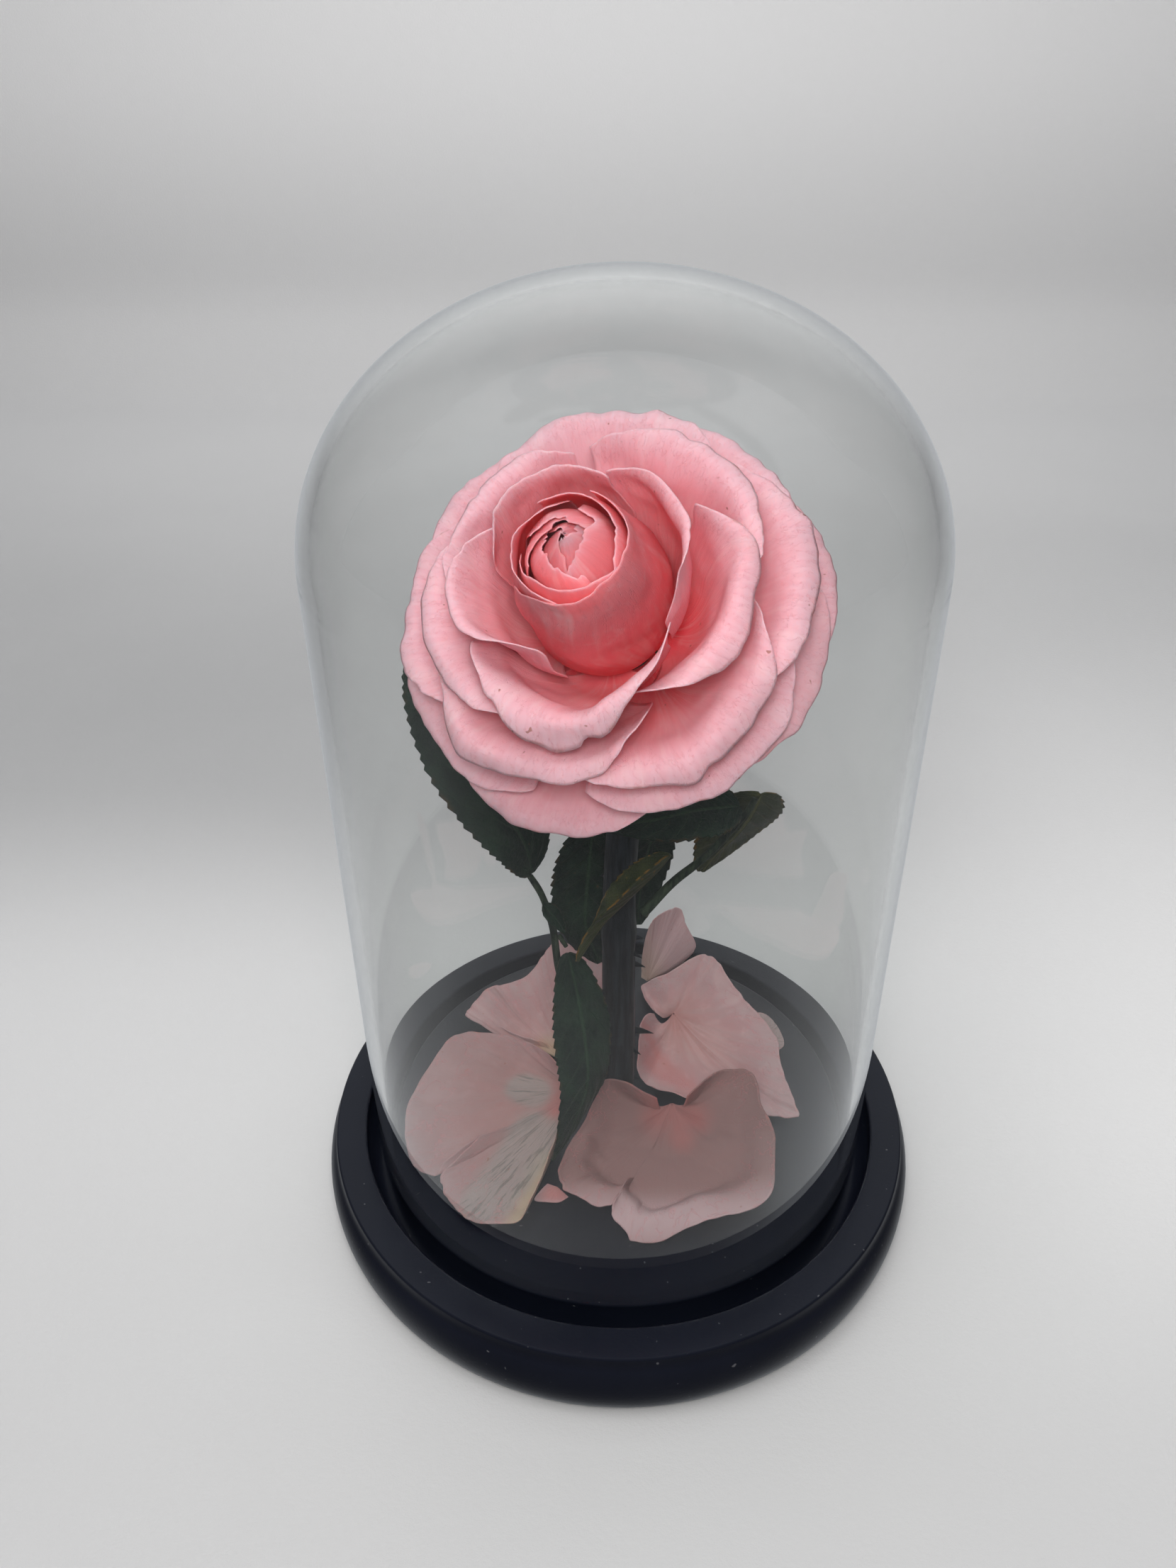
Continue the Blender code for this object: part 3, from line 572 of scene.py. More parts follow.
def swayed(place):
    """The whole bloom is pushed a little one way and another, so no ring stays round. It never tears."""
    local = place - BLOOM_CENTRE
    depth = ease((local.dot(BLOOM_AXIS) - 4.0) / 16.0)
    heart = ease(1.0 - (local - BLOOM_AXIS * local.dot(BLOOM_AXIS)).length / 10.0)
    push = noise.noise_vector(local / 12.0) * 1.5 + noise.noise_vector(local / 4.6) * 0.32
    push += noise.noise_vector(local / 5.4 + Vector((4.0, 1.0, 2.0))) * 1.3 * heart
    return place + push * depth


def petal_shape(azimuth, layer, spread, reach, tip, tucks, falls, start, spiral, seed, curves=LAYER_CURVES):
    """The form of one petal, as a function of the place across and along it."""
    roll_start, roll_span = 0.84, 0.16
    wave_size = blend(0.1, 1.2, ease((layer - 0.25) / 0.6))
    roll = blend(1.1, 0.9, ease((layer - 0.10) / 0.5))

    def shape(across, along):
        width = spread * (0.34 + 0.66 * ease(along / 0.62))
        side, high = abs(across), across > 0
        # The rim falls at both sides, may rise to a tip, and is uneven and nicked.
        rim = 1.0 - falls[high] * side ** 2.6 + tip[0] * max(1.0 - abs(across - tip[1]), 0.0) ** 2
        rim += 0.034 * drifting(across * 2.6, seed) + 0.016 * drifting(across * 9.0, seed + 7.0)
        rim -= 0.09 * max(drifting(across * 5.0, seed + 3.0) - 0.25, 0.0)
        t = start + (reach * rim - start) * along
        curve = layer_curve(layer + spiral * across - tucks[high] * side ** 1.6, curves)
        radius, height = bezier(curve, t)
        ahead_r, ahead_h = bezier(curve, t + 0.01)
        length = math.hypot(ahead_r - radius, ahead_h - height)
        out_r, out_h = (ahead_h - height) / length, -(ahead_r - radius) / length
        angle = azimuth + width * across
        turn = math.radians(angle)
        # Neighbours share these waves and this roll, which push the blade out along its normal.
        push = wave_size * ease((t - 0.45) / 0.55) * (
            drifting(math.cos(turn) * 2.2, math.sin(turn) * 2.2, t * 1.2)
            + 0.35 * drifting(math.cos(turn) * 6.0, math.sin(turn) * 6.0, t * 2.0))
        push += roll * max(t - roll_start, 0.0) ** 2 / roll_span ** 2 * 0.5
        ripple = drifting(across * 9.0, t * 2.0, seed + 9.0)
        push += 0.6 * min(wave_size, 1.0) * ease((t - 0.72) / 0.28) * ripple
        return swayed(bloom_point(radius + out_r * push, angle, height + out_h * push))

    return shape


# %% [markdown]
# The open petals come from one table of measured places: which way each points, which layer it lies on,
# half its spread in degrees, how far it reaches, its pointed tip, how far each side tucks in and how far
# the rim falls there. The wrapped bud turns by the golden angle from petal to petal, as a real bud does. It
# has three rings and one last petal outside them, each with its count, layer, half spread and spiral.

# %% Petals of the bloom
OPEN_PETALS = (
    ("petal_inner_upper_left", 118, 0.350, 54, 1.00, (0.00, 0.0), (0.010, 0.015), (0.10, 0.16)),
    ("petal_inner_upper_right", 22, 0.386, 52, 1.00, (0.02, 0.2), (0.036, 0.020), (0.36, 0.16)),
    ("petal_inner_left", 196, 0.406, 52, 0.98, (0.01, 0.0), (0.024, 0.050), (0.26, 0.24)),
    ("petal_inner_front", 266, 0.454, 58, 1.00, (0.05, -0.1), (0.018, 0.070), (0.28, 0.24)),
    ("petal_inner_right", 342, 0.492, 48, 1.00, (0.02, -0.1), (0.030, 0.050), (0.32, 0.24)),
    ("petal_middle_upper_left", 140, 0.444, 44, 0.97, (0.00, 0.0), (0.000, 0.000), (0.22, 0.26)),
    ("petal_middle_left", 200, 0.517, 46, 0.97, (0.01, 0.0), (0.020, 0.015), (0.28, 0.26)),
    ("petal_middle_upper_right", 42, 0.556, 50, 0.97, (0.01, -0.3), (0.020, 0.020), (0.24, 0.26)),
    ("petal_middle_front_left", 245, 0.604, 50, 1.00, (0.05, -0.3), (0.016, 0.080), (0.30, 0.34)),
    ("petal_middle_front_right", 304, 0.640, 48, 1.00, (0.02, 0.1), (0.005, 0.060), (0.32, 0.30)),
    ("petal_middle_right", 4, 0.684, 46, 1.00, (0.02, -0.1), (0.030, 0.020), (0.32, 0.30)),
    ("petal_outer_top", 90, 0.700, 40, 1.02, (0.01, 0.0), (0.010, 0.010), (0.28, 0.28)),
    ("petal_outer_left_fold", 180, 0.724, 36, 0.95, (0.02, 0.4), (0.010, 0.010), (0.28, 0.30)),
    ("petal_outer_upper_left", 128, 0.752, 36, 0.99, (0.00, 0.0), (0.010, 0.010), (0.28, 0.28)),
    ("petal_outer_upper_right", 52, 0.780, 40, 1.02, (0.01, 0.2), (0.010, 0.010), (0.28, 0.30)),
    ("petal_outer_front_right", 304, 0.806, 40, 1.00, (0.02, 0.0), (0.020, 0.020), (0.30, 0.28)),
    ("petal_outer_left_upper", 158, 0.834, 36, 0.95, (0.00, 0.0), (0.010, 0.010), (0.26, 0.26)),
    ("petal_outer_left", 207, 0.860, 40, 1.00, (0.01, 0.0), (0.010, 0.010), (0.28, 0.30)),
    ("petal_outer_right_lower", 338, 0.888, 34, 0.98, (0.01, 0.0), (0.010, 0.010), (0.28, 0.28)),
    ("petal_outer_front", 252, 0.918, 40, 0.98, (0.13, -0.30), (0.010, 0.010), (0.34, 0.56)),
    ("petal_outer_right", 12, 0.954, 38, 0.98, (0.07, 0.1), (0.010, 0.010), (0.26, 0.30)),
)
BUD_RINGS = ((3, 0.045, 118.0, 0.038), (4, 0.150, 88.0, 0.042), (3, 0.258, 84.0, 0.040),
             (1, 0.308, 112.0, 0.004))
BUD_FIRST_AZIMUTH = 20.0
BUD_TURN = 137.5
BUD_THICKNESS = 0.16
PETAL_GRID = (56, 44)
PETAL_THICKNESS = 0.20
SWAY_SEED = 3
TONE_SEED = 11

noise.seed_set(SWAY_SEED)
random.seed(TONE_SEED)
bud_rows = [row for count, *row in BUD_RINGS for _ in range(count)]
for number, (layer, spread, spiral) in enumerate(bud_rows):
    shape = petal_shape(BUD_FIRST_AZIMUTH + BUD_TURN * number, layer, spread,
                        reach=0.998 - 0.012 * (number % 3), tip=(0.02, 0.2), tucks=(0.0, 0.0),
                        falls=(0.16, 0.06), start=0.16, spiral=spiral, seed=20.0 + number,
                        curves=BUD_CURVES)
    name = "bud_petal_%d" % (number + 1)
    net = blade_net(*PETAL_GRID, shape, random.uniform(0.35, 0.65))
    thicken(settle(net, "bud_fold_%d" % (number + 1), PETAL_CORAL, "petal_coral", name), BUD_THICKNESS)

for number, (name, azimuth, layer, spread, reach, tip, tucks, falls) in enumerate(OPEN_PETALS):
    shape = petal_shape(azimuth, layer, spread, reach, tip, tucks, falls, start=0.06, spiral=0.0,
                        seed=40.0 + 3.7 * number)
    tone_and_shade = random.uniform(0.25, 0.65) + 0.35 * ease((layer - 0.6) / 0.2)
    net = blade_net(*PETAL_GRID, shape, tone_and_shade)
    thicken(settle(net, name.replace("petal_", "rose_petal_"), PETAL_PINK, "petal_pink", name),
            PETAL_THICKNESS)
print("bloom of", len(bud_rows) + len(OPEN_PETALS), "petals")

# %% [markdown]
# ## Stem, thorns and calyx
# The stem is a bar along a smooth path that swells a little at its nodes. A thorn is a cone whose tip is
# bent down. The calyx is a turned cup under the bloom with five sepals that hang back from it.

# %% Stem
STEM_ROUTE = ((0, 0, 9.3), (0.2, 0, 36), (0, 0.3, 62), (0.2, 1.0, 86), (1.4, 2.6, 106), (2.8, 4.2, 121))
STEM_FOOT_RADIUS = 3.95
STEM_TOP_RADIUS = 3.0
CALYX_FOOT = 10.0
THORN_LENGTH = 3.4
THORN_FOOT_RADIUS = 1.1
THORN_TIP_RADIUS = 0.05
THORN_DROOP = 0.22
route = [Vector(point) for point in STEM_ROUTE]
route += [bloom_point(0, 0, -CALYX_FOOT - 8.0), bloom_point(0, 0, -CALYX_FOOT - 0.6)]


def stem_path(share):
    return through(route, share)


def stem_radius(turn, share):
    swell = 0.35 * math.exp(-((share - 0.33) / 0.02) ** 2) + 0.4 * math.exp(-((share - 0.52) / 0.02) ** 2)
    return (blend(STEM_FOOT_RADIUS, STEM_TOP_RADIUS, share) + swell
            + 0.14 * drifting(turn * 1.3, share * 9.0, 4.0))


def add_thorn(net, height, azimuth, scale):
    """One thorn: a slim cone with its foot inside the bark and its tip bent down."""
    turn = math.radians(azimuth)
    out = Vector((math.cos(turn), math.sin(turn), -0.18)).normalized()
    length = THORN_LENGTH * scale
    foot = THORN_FOOT_RADIUS * scale ** 0.5
    made = bmesh.ops.create_cone(net, cap_ends=True, segments=12, radius1=foot * MM,
                                 radius2=THORN_TIP_RADIUS * MM, depth=length * MM)["verts"]
    long_edges = {edge for point in made for edge in point.link_edges
                  if abs(edge.verts[0].co.z - edge.verts[1].co.z) > length * MM * 0.5}
    bmesh.ops.subdivide_edges(net, edges=list(long_edges), cuts=4)
    made = [point for point in net.verts if not point.tag]
    turning = out.to_track_quat("Z", "Y").to_matrix()
    root = Vector((0.1, 0.2, height)) + out * 2.4
    for point in made:
        point.tag = True
        share = point.co.z / (length * MM) + 0.5
        point.co.x *= 0.62 + 0.38 * share
        point.co = turning @ Vector((point.co.x, point.co.y, point.co.z + length * MM / 2)) + root * MM
        point.co.z -= THORN_DROOP * length * MM * share * share


# Each thorn: its height, its azimuth in degrees and its scale.
THORNS = ((36, -20, 1.0), (40, 15, 1.9), (26, -5, 0.8), (31, 170, 1.0), (54, 200, 1.0),
          (61, 5, 1.1), (65, -15, 0.9), (68, 20, 1.1), (84, 140, 1.0), (50, 95, 1.2))
# Each thorn bends the points without a tag, so the bark is tagged first.
net = tube_net(stem_path, stem_radius, 32, 150)
for point in net.verts:
    point.tag = True
for height, azimuth, scale in THORNS:
    add_thorn(net, height, azimuth, scale)
settle(net, "thorny_stem", DARK_STEM, "dark_stem", "stem")

# %% Calyx
SEPALS = 5
SEPAL_FIRST_AZIMUTH = 40
SEPAL_GRID = (10, 30)
SEPAL_THICKNESS = 0.5
SEPAL_CURVE = ((3.5, -3.7), (9.0, -6.6), (15.0, -8.6), (21.0, -13.0))
profile = [(0, 10.2), (1.6, 9.0), (3.0, 6.4), (4.2, 4.0), (5.2, 2.0), (5.6, 0.6), (5.9, -1.4), (5.6, -2.2),
           (4.9, -2.8), (4.5, -4.2), (4.5, -5.6), (4.1, -7.2), (3.4, -8.4), (2.9, -9.4), (2.6, -CALYX_FOOT),
           (0, -CALYX_FOOT)]
net = turned_net(profile, 40)
place = Matrix.Translation(BLOOM_CENTRE * MM) @ BLOOM_AXIS.to_track_quat("Z", "Y").to_matrix().to_4x4()
bmesh.ops.transform(net, matrix=place, verts=net.verts)
settle(net, "calyx_cup", CALYX_GREEN, "calyx_green", "calyx")


def sepal_shape(azimuth):
    """A sepal that narrows to its tip as it leans out and down."""
    def shape(across, along):
        radius, height = bezier(SEPAL_CURVE, along)
        half = 2.1 * (1.0 - along) ** 0.7 + 0.3
        sideways = math.degrees(half * across / max(radius, 3.0))
        return bloom_point(radius, azimuth + sideways, height - 0.5 * across * across)

    return shape


for number in range(SEPALS):
    net = blade_net(*SEPAL_GRID, sepal_shape(SEPAL_FIRST_AZIMUTH + 360 // SEPALS * number))
    sepal = settle(net, "sepal_%d" % (number + 1), CALYX_GREEN, "calyx_green", "calyx")
    thicken(sepal, SEPAL_THICKNESS)

# %% [markdown]
# ## Leaves
# A leaflet follows its midrib. Its blade folds up on both sides, its edge is cut into small forward teeth,
# and between the side veins it puffs up a little. The same form in the solids has only coarse teeth, and
# the fine ones keep close to its outline.

# %% Leaves and stalks
LEAF_GRID = (28, 130)
LEAF_THICKNESS = 0.3
TOOTH_DEPTH = 0.09
PUFF_HEIGHT = 0.22

# Each leaflet: its midrib from foot to tip, half its width, the way its blade turns at both ends, how far
# it folds, how far its sides curl, and how many teeth it has.
LEAVES = (
    ("leaf_left", ((-19.2, 4.1, 82.6), (-21.6, 4.8, 92.0), (-30.7, 6.8, 107.0), (-37.3, 10.0, 123.0),
                   (-39.0, 12.0, 135.0), (-38.0, 14.0, 146.0)), 10.5, (0.45, 0.8, 0.3), (0.75, 0.6, 0.2),
     0.20, 0.10, 34),
    ("leaf_behind_stem", ((-6.0, 13.0, 89.4), (-7.1, 13.0, 75.7), (-7.8, 12.0, 62.0), (-4.4, 10.0, 52.1)),
     8.5, (1.0, 0.2, 0.0), (1.0, -0.1, 0.0), 0.15, 0.0, 18),
    ("leaf_behind_right", ((9.0, 9.6, 96.0), (6.9, 10.4, 86.7), (5.0, 10.4, 74.6), (4.4, 9.0, 64.6)),
     7.0, (0.8, 0.2, 0.5), (0.9, 0.3, 0.3), 0.15, 0.0, 14),
    ("leaf_folded_front", ((10.6, -5.4, 94.6), (5.2, -8.2, 89.3), (-2.0, -9.4, 81.3), (-8.6, -9.6, 69.8)),
     5.8, (0.5, 0.75, 0.4), (0.5, 0.8, 0.3), 0.60, 0.0, 16),
    ("leaf_drooping", ((-11.0, -5.6, 68.4), (-8.8, -9.6, 59.6), (-7.2, -13.5, 50.2), (-6.8, -17.5, 40.6),
                       (-10.4, -21.5, 30.5), (-14.2, -24.6, 24.5)), 6.8, (1.0, -0.1, -0.1),
     (0.45, 0.85, 0.0), 0.25, 0.0, 24),
    ("leaf_under_bloom", ((24.8, 2.4, 101.6), (17.6, -0.4, 102.6), (7.2, -5.6, 103.4), (-3.8, -9.2, 104.2)),
     7.6, (0.1, -0.9, -0.35), (0.0, -0.9, -0.3), -0.15, 0.0, 16),
    ("leaf_right", ((30.0, 7.2, 101.6), (27.8, 9.2, 93.4), (23.4, 11.6, 84.8), (18.9, 13.6, 76.4)),
     9.6, (0.95, 0.05, 0.3), (0.85, 0.2, 0.45), 0.20, 0.0, 16),
    ("leaf_bract", ((-16.2, -1.4, 78.4), (-14.0, -3.0, 76.4), (-11.6, -4.4, 73.2)),
     1.8, (0.6, 0.5, 0.6), (0.6, 0.5, 0.6), 0.3, 0.0, 6),
)


def leaf_shape(midrib, half_width, side_start, side_end, fold, curl, teeth, seed):
    """The form of one leaflet, as a function of the place across and along it."""
    def shape(across, along):
        centre = through(midrib, along)
        ahead = through(midrib, min(along + 0.01, 1.0)) - through(midrib, max(along - 0.01, 0.0))
        ahead.normalize()
        side = Vector(side_start).lerp(Vector(side_end), along)
        side = (side - ahead * side.dot(ahead)).normalized()
        normal = side.cross(ahead)
        width = half_width * (0.07 + 0.93 * math.sin(math.pi * min(along, 0.985) ** 0.8) ** 0.8)
        edge = abs(across) ** 5
        saw = (along * teeth) % 1.0
        width *= 1.0 - TOOTH_DEPTH * edge * (1.0 - saw) + 0.05 * drifting(along * 5.0, across, seed)
        slant = along * SIDE_VEINS - abs(across) * VEIN_SLANT
        puff = PUFF_HEIGHT * math.cos(math.tau * slant) * min(abs(across) * 3.0, 1.0) * (1.0 - edge)
        lift = fold * abs(across) * width - curl * across * across * width
        lift += puff * min(half_width / 8.0, 1.0) + 0.7 * drifting(along * 3.0, across * 1.4, seed + 5.0)
        return centre + side * across * width + normal * lift

    return shape


for number, (name, midrib, half_width, start, end, fold, curl, teeth) in enumerate(LEAVES):
    olive = name in ("leaf_folded_front", "leaf_right")
    shape = leaf_shape(midrib, half_width, start, end, fold, curl, teeth, seed=3.0 * number)
    net = blade_net(*LEAF_GRID, shape)
    piece = settle(net, name.replace("leaf_", "leaflet_"), OLIVE_LEAF if olive else DARK_LEAF,
                   "olive_leaf" if olive else "dark_leaf", name)
    thicken(piece, LEAF_THICKNESS)

# Each stalk's route and its radius at both ends.
STALKS = (
    ("leaf_stalk_left", ((-4.8, 0.0, 43.6), (-9.7, -2.0, 50.5), (-13.2, -2.0, 59.9), (-14.6, 0.0, 70.9),
                         (-16.8, 2.0, 77.8), (-19.6, 4.0, 81.9)), 1.0, 0.7),
    ("leaf_stalk_right", ((5.2, 0.2, 75.0), (11.9, 2.0, 82.4), (18.8, 3.0, 88.8), (26.4, 5.0, 97.7),
                          (28.4, 5.4, 101.6)), 1.1, 0.6),
    ("leaf_stalk_front", ((-13.0, -2.4, 70.6), (-12.4, -3.4, 70.2), (-11.4, -4.8, 69.6)), 0.6, 0.5),
)
for name, points, low, high in STALKS:
    def stalk_path(share, points=points):
        return through(points, share)

    def stalk_radius(turn, share, low=low, high=high):
        return blend(low, high, share) * (1.0 + 0.12 * drifting(turn, share * 7.0, low))

    settle(tube_net(stalk_path, stalk_radius, 16, 60), name.replace("leaf_stalk", "stalk"), LEAF_STALK,
           "leaf_stalk", name)

# %% [markdown]
# ## Fallen petals
# A shed petal is a fan: its lines run from its claw to a rim that is given as points, with their heights
# over the floor of the case. It sags between them, and its lip may crest before the rim. Shed petals are
# drier and greyer than those on the flower, and the front ones are painted darker still as shade. Masks
# colour them: blushing lines, sallow or bare, worn patches, and painted light on the back petal and on the
# front petal's lip.

# %% Fallen petals
SHED_ROWS = 44
SHED_COLUMNS = 90
FINE_COLUMNS = 200
SHED_THICKNESS = 0.25

# Each shed petal: its claw, how far it sags, how far its lip crests, how much of its pink it keeps, the
# lines that its masks follow, with their start, end and width, and the points of its rim. A petal that
# keeps little pink is painted darker as shade.
FALLEN_PETALS = (
    ("fallen_petal_front", (13.0, -6.2, 5), 4.2, 4.0, 0.0,
     (("blush", (10, -8), (18, -8), 7), ("blush", (14, -8), (15, -13), 5),
      ("painted_light", (-10, -36), (32, -35), 10.5)),
     ((9.4, -6.4, 7), (2.8, -5.6, 11), (-3.0, -3.6, 10), (-5.1, -7.4, 8), (-7.8, -12.6, 6),
      (-10.7, -18.1, 5), (-13.0, -24.1, 3.5), (-12.2, -28.0, 3), (-11.2, -29.7, 2.5), (-8.4, -30.8, 2),
      (-4.8, -32.4, 1), (-1.3, -32.3, 1), (0.4, -30.0, 2), (-0.9, -33.0, 1), (-0.6, -35.4, 1),
      (2.2, -38.4, 1), (3.4, -40.2, 0.6), (7.4, -40.6, 0.6), (11.4, -39.5, 1), (16.1, -37.1, 1.5),
      (22.0, -35.3, 2), (29.7, -33.1, 3), (33.7, -30.4, 5), (35.3, -22.5, 6), (36.0, -14.8, 6.5),
      (34.0, -9.4, 8), (33.0, -2.1, 10), (29.7, 0.7, 10), (24.7, 0.7, 9.5), (20.0, -2.7, 8.5),
      (16.6, -5.6, 7.5))),
    ("fallen_petal_left_front", (-9.6, 0.6, 2.5), 2.0, 0.0, 0.42,
     (("bare", (-23, 1), (-21, 0), 7.5), ("bare", (-19, -12), (-28, -31), 10),
      ("sallow", (-16, -19), (-21, -37), 5), ("blush", (-11, 1), (-16, -7), 3.5)),
     ((-12.4, 5.6, 2.5), (-18.1, 12.0, 3), (-23.8, 15.6, 3), (-30.3, 16.8, 4), (-38.8, 16.4, 5),
      (-43.4, 12.4, 6), (-47.0, 3.3, 6), (-49.8, -4.5, 5), (-50.3, -11.8, 4), (-48.0, -19.5, 2),
      (-45.1, -23.4, 1), (-40.8, -25.1, 1), (-39.6, -22.6, 1.6), (-37.4, -20.0, 2.4), (-32.2, -15.0, 3),
      (-36.6, -20.8, 1.6), (-39.2, -24.0, 1), (-39.1, -26.7, 1), (-37.1, -30.6, 1), (-33.6, -34.8, 1.5),
      (-29.1, -37.4, 2), (-21.2, -37.9, 3), (-18.9, -33.6, 4), (-16.6, -27.2, 5), (-14.4, -17.9, 5.5),
      (-11.8, -6.9, 4))),
    ("fallen_petal_left_back", (-12.6, 11.4, 1), 2.0, 0.0, 0.7,
     (("sallow", (-13, 12), (-17, 14), 8), ("blush", (-18, 15), (-20, 16), 3)),
     ((-18.2, 15.4, 2), (-27.5, 19.8, 2), (-34.7, 23.2, 2.5), (-40.3, 23.4, 4), (-39.2, 26.0, 5),
      (-35.7, 30.4, 7), (-31.0, 30.5, 8), (-24.2, 34.0, 9), (-20.7, 37.6, 12), (-18.0, 40.7, 14),
      (-15.9, 41.2, 15), (-9.4, 38.9, 12), (-2.9, 39.8, 9), (-3.6, 35.1, 7), (-6.2, 25.9, 5),
      (-8.7, 16.2, 3))),
    ("fallen_petal_back", (8.0, 41.0, 0.8), 0.0, 0.0, 1.0,
     (("sallow", (7, 41), (9, 42), 6.5), ("painted_light", (12, 47), (18, 46), 12)),
     ((6.4, 41.6, 1.6), (6.6, 43.8, 8), (8.2, 45.5, 16), (11.0, 47.6, 19), (15.0, 48.6, 21),
      (17.2, 48.8, 20), (18.6, 46.9, 16), (21.4, 45.6, 9), (16.9, 45.4, 3))),
    ("fallen_petal_right", (14.6, 25.6, 4.5), 3.4, 0.0, 0.85,
     (("blush", (7, 17), (19, 3), 4), ("blush", (9, 10), (17, 3), 7)),
     ((7.5, 32.4, 2), (6.5, 37.4, 3), (12.2, 37.3, 7), (20.8, 40.6, 10), (25.2, 40.6, 10),
      (27.9, 38.0, 9), (32.4, 30.6, 7), (35.5, 25.7, 6), (40.7, 16.2, 5.5), (40.8, 9.8, 4.5),
      (41.8, 1.9, 4), (42.8, -4.0, 3), (43.3, -7.2, 2), (39.2, -6.0, 1.2), (34.7, -5.0, 1.2),
      (27.1, -3.2, 1.2), (16.4, -0.4, 1.2), (8.1, 2.2, 2.4), (5.1, 4.8, 5), (5.2, 8.8, 7),
      (5.8, 16.2, 8.5), (7.4, 21.0, 8), (9.4, 24.2, 5.5))),
    ("fallen_scrap_right", (35.0, 19.0, 1), 0.0, 0.0, 0.7,
     (("bare", (38, 22), (40, 20), 8),),
     ((34.8, 24.0, 1.6), (36.4, 27.2, 2.5), (38.6, 27.0, 3), (40.8, 24.6, 3), (42.8, 20.0, 2.5),
      (43.0, 16.4, 2), (40.0, 14.4, 1.4))),
    ("fallen_scrap_front", (-13.2, -27.0, 0.8), 0.0, 0.0, 0.7,
     (("blush", (-14, -29), (-12, -29), 4),),
     ((-15.4, -26.4, 1.2), (-16.8, -28.4, 1.4), (-18.0, -30.6, 1), (-15.6, -31.0, 0.9), (-12.6, -31.0, 0.8),
      (-10.6, -29.4, 0.6))),
)


def fan_shape(claw, sag, crest, rim_points, seed):
    """A fan from its claw to its rim, with a sagging middle and a lip that crests before the rim."""
    ground = BASE_TOP + 0.5
    size = min(max((Vector(point) - Vector(claw)).length for point in rim_points) / 35.0, 1.0)

    def shape(across, along):
        rim = through(rim_points, across / 2 + 0.5)
        start = Vector(claw).lerp(rim, 0.012)
        share = along ** 0.9
        place = start.lerp(rim, share)
        place.z -= sag * math.sin(math.pi * share) ** 0.8
        place.z += crest * math.exp(-((share - 0.84) / 0.11) ** 2) * max(1.0 - rim.z / 7.0, 0.0)
        ripple = drifting(place.x / 9.0, place.y / 9.0, seed)
        ripple += 0.4 * drifting(place.x / 3.5, place.y / 3.5, seed)
        place.z += (1.1 * ripple + 0.5 * drifting(across * 14.0, share, seed) * share) * size
        spread = 0.35 * drifting(across * 30.0, seed + 2.0) * share * size
        place.x += spread
        place.y += spread
        return Vector((place.x, place.y, max(place.z, 0.0) + ground))

    return shape


def near_line(place, start, end, width):
    """1 on the line from start to end, falling to 0 at the given width from it."""
    along = (place - start).dot(end - start) / max((end - start).length_squared, 0.01)
    return ease(1.0 - (place - start.lerp(end, min(max(along, 0.0), 1.0))).length / width)


for number, (name, claw, sag, crest, tone_and_shade, marks, rim_points) in enumerate(FALLEN_PETALS):
    shape = fan_shape(claw, sag, crest, rim_points, seed=60.0 + 5.0 * number)
    columns = FINE_COLUMNS if len(rim_points) > 12 else SHED_COLUMNS
    net = blade_net(columns, SHED_ROWS, shape, tone_and_shade)
    masks = {kind: net.verts.layers.float.new(kind) for kind in ("blush", "sallow", "bare", "painted_light")}
    for point in net.verts:
        flat = (point.co / MM).to_2d()
        for kind, start, end, width in marks:
            mark = near_line(flat, Vector(start), Vector(end), width)
            point[masks[kind]] = max(point[masks[kind]], mark)
    shed = settle(net, name.replace("fallen_", "shed_"), FADED_PETAL, "faded_petal", name)
    thicken(shed, SHED_THICKNESS)

# %% [markdown]
# ## Floor, light and camera
# A pale sheet runs along the table and up behind, so that no line shows where they meet. Its colour is
# painted with shade and light: darker in front and just behind the case, lighter farther back, up the
# upright part and to the right. A large soft light hangs above, a weaker one stands at the left in front,
# a small one by the camera reaches into the bloom, and one behind washes the upright sheet. Around them is
# a pale room that is darker in front and at both sides. The camera stands where the photograph's did: close
# in front, at about 32 degrees above, with a wide lens.

# %% Floor
paper = Finish("pale_paper", Roughness=0.75)
spot = paper.spot()
across, back, height = paper.parts(spot)
# The sheet's colour is painted with shade and light: a dark band in front and a darker strip just behind
# the case are painted shade, and the lighter paper farther back, up the upright part and to the right is
# painted light. Only the faint noise in the last step is the paper's own.
painted_light_on_right = back.between(-0.08, 0.02) * 0.5 * back.between(0.45, 0.10) + 0.12
painted_shade_and_light = paper.mix(back.between(-0.11, 0.03), (0.525, 0.527, 0.531), (0.600, 0.603, 0.607))
for share, shade in ((back.between(-0.13, -0.24), (0.20, 0.202, 0.205)),
                     (back.between(0.05, 0.17), (0.410, 0.413, 0.417)),
                     (back.between(0.20, 0.75), (0.680, 0.683, 0.687)),
                     (height.between(0.0, 0.06), (0.76, 0.763, 0.767)),
                     (height.between(0.08, 0.24), (0.92, 0.923, 0.927)),
                     (across.between(0.02, 0.20) * painted_light_on_right, (0.85, 0.85, 0.85)),
                     (paper.noise(spot, 6.0, 3.0).between(0.3, 0.7) * 0.05, (0.9, 0.9, 0.9))):
    painted_shade_and_light = paper.mix(share, painted_shade_and_light, shade)
paper.paint(Base_Color=painted_shade_and_light)
paper.bump(paper.noise(spot, 700.0, 3.0, 0.7), 0.25, 0.0006)
BEND_START, BEND_RADIUS = 0.70, 0.08
SHEET_START, SHEET_END, SHEET_HALF_WIDTH = -1.2, 2.4, 2.2
net = bmesh.new()
bmesh.ops.create_grid(net, x_segments=8, y_segments=240, size=1.0)
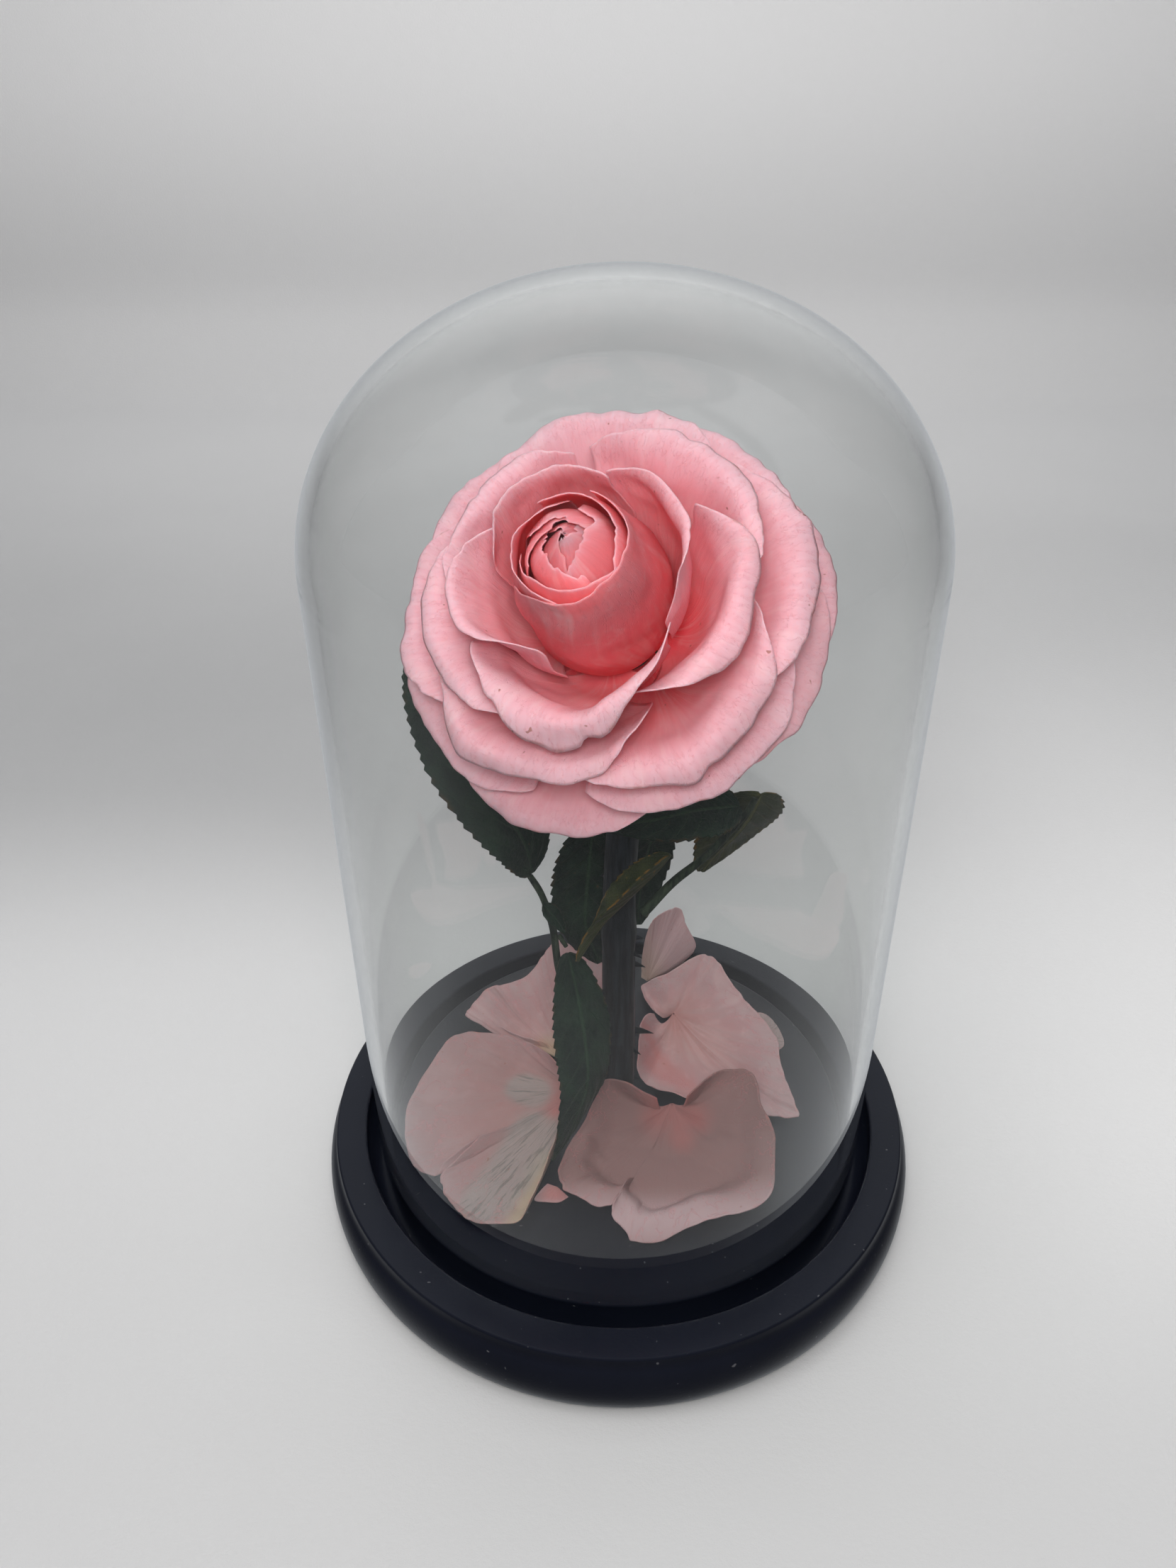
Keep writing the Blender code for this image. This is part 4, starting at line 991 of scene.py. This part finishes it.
for point in net.verts:
    along = blend(SHEET_START, SHEET_END, point.co.y / 2 + 0.5)
    turn = min(max(along - BEND_START, 0.0) / BEND_RADIUS, math.pi / 2)
    wall = max(along - BEND_START - BEND_RADIUS * math.pi / 2, 0.0)
    point.co = (point.co.x * SHEET_HALF_WIDTH, min(along, BEND_START) + BEND_RADIUS * math.sin(turn),
                BEND_RADIUS * (1.0 - math.cos(turn)) + wall)
# The case mirrors the room and not the sheet, so that the glass stays clear.
sweep = placed(net, "sweep", paper.material)
sweep.visible_glossy = False

# %% Light
scene = bpy.context.scene
world = bpy.data.worlds.new("studio")
world.use_nodes = True
scene.world = world
room = NodeNet(world.node_tree)
sideways, ahead, _ = room.parts(room.node("ShaderNodeTexCoord", {}, {}))
dark_share = ahead.between(0.25, -0.55).most(sideways.size().between(0.45, 0.95))
shade = room.mix(dark_share, (0.74, 0.77, 0.81), (0.10, 0.10, 0.11))
room.fill(room.tree.nodes["Background"], {"Color": shade, "Strength": 0.68})


def soft_light(name, place, aim, size, power, colour):
    """A rectangular lamp that lights the case but is not mirrored in it."""
    lamp = bpy.data.lights.new(name, "AREA")
    lamp.shape = "RECTANGLE"
    lamp.size, lamp.size_y = size
    lamp.energy = power
    lamp.color = colour
    holder = bpy.data.objects.new(name, lamp)
    holder.location = place
    holder.rotation_mode = "QUATERNION"
    holder.rotation_quaternion = (Vector(aim) - Vector(place)).to_track_quat("-Z", "Y")
    holder.visible_glossy = holder.visible_transmission = False
    scene.collection.objects.link(holder)


# Each lamp: its place, its aim, its size in metres, its power in watts and its colour.
soft_light("ceiling", (-0.12, -0.25, 1.0), (0.0, 0.0, 0.05), (0.8, 0.6), 5.0, (1.0, 0.985, 0.97))
soft_light("front", (-0.35, -0.8, 0.55), (0.0, 0.1, 0.20), (0.5, 0.4), 1.2, (1.0, 0.99, 0.98))
soft_light("near_camera", (0.0, -0.205, 0.262), (0.0, 0.0, 0.12), (0.06, 0.06), 0.42, (1.0, 0.98, 0.96))
soft_light("wall", (0.0, 0.30, 0.9), (0.0, 0.78, 0.25), (0.8, 0.2), 3.2, (1.0, 0.99, 0.98))

# %% Camera
CAMERA_PLACE = (0.0, -0.19863, 0.23394)
PITCH, YAW, ROLL = 0.5661, -0.0329, -0.0084
FOCAL_PIXELS, IMAGE_HEIGHT = 1632.83, 2212
SENSOR_SIZE = 36.0
forward = Vector((math.sin(YAW) * math.cos(PITCH), math.cos(YAW) * math.cos(PITCH), -math.sin(PITCH)))
level = Vector((math.cos(YAW), -math.sin(YAW), 0.0))
above = level.cross(forward)
right = level * math.cos(ROLL) + above * math.sin(ROLL)
up = above * math.cos(ROLL) - level * math.sin(ROLL)
lens = bpy.data.cameras.new("camera")
lens.sensor_width = SENSOR_SIZE
lens.lens = FOCAL_PIXELS / IMAGE_HEIGHT * SENSOR_SIZE
lens.clip_start = 0.005
camera = bpy.data.objects.new("camera", lens)
scene.collection.objects.link(camera)
matrix = Matrix((right, up, -forward)).transposed().to_4x4()
matrix.translation = Vector(CAMERA_PLACE)
camera.matrix_world = matrix
scene.camera = camera
scene.view_settings.view_transform = "Standard"
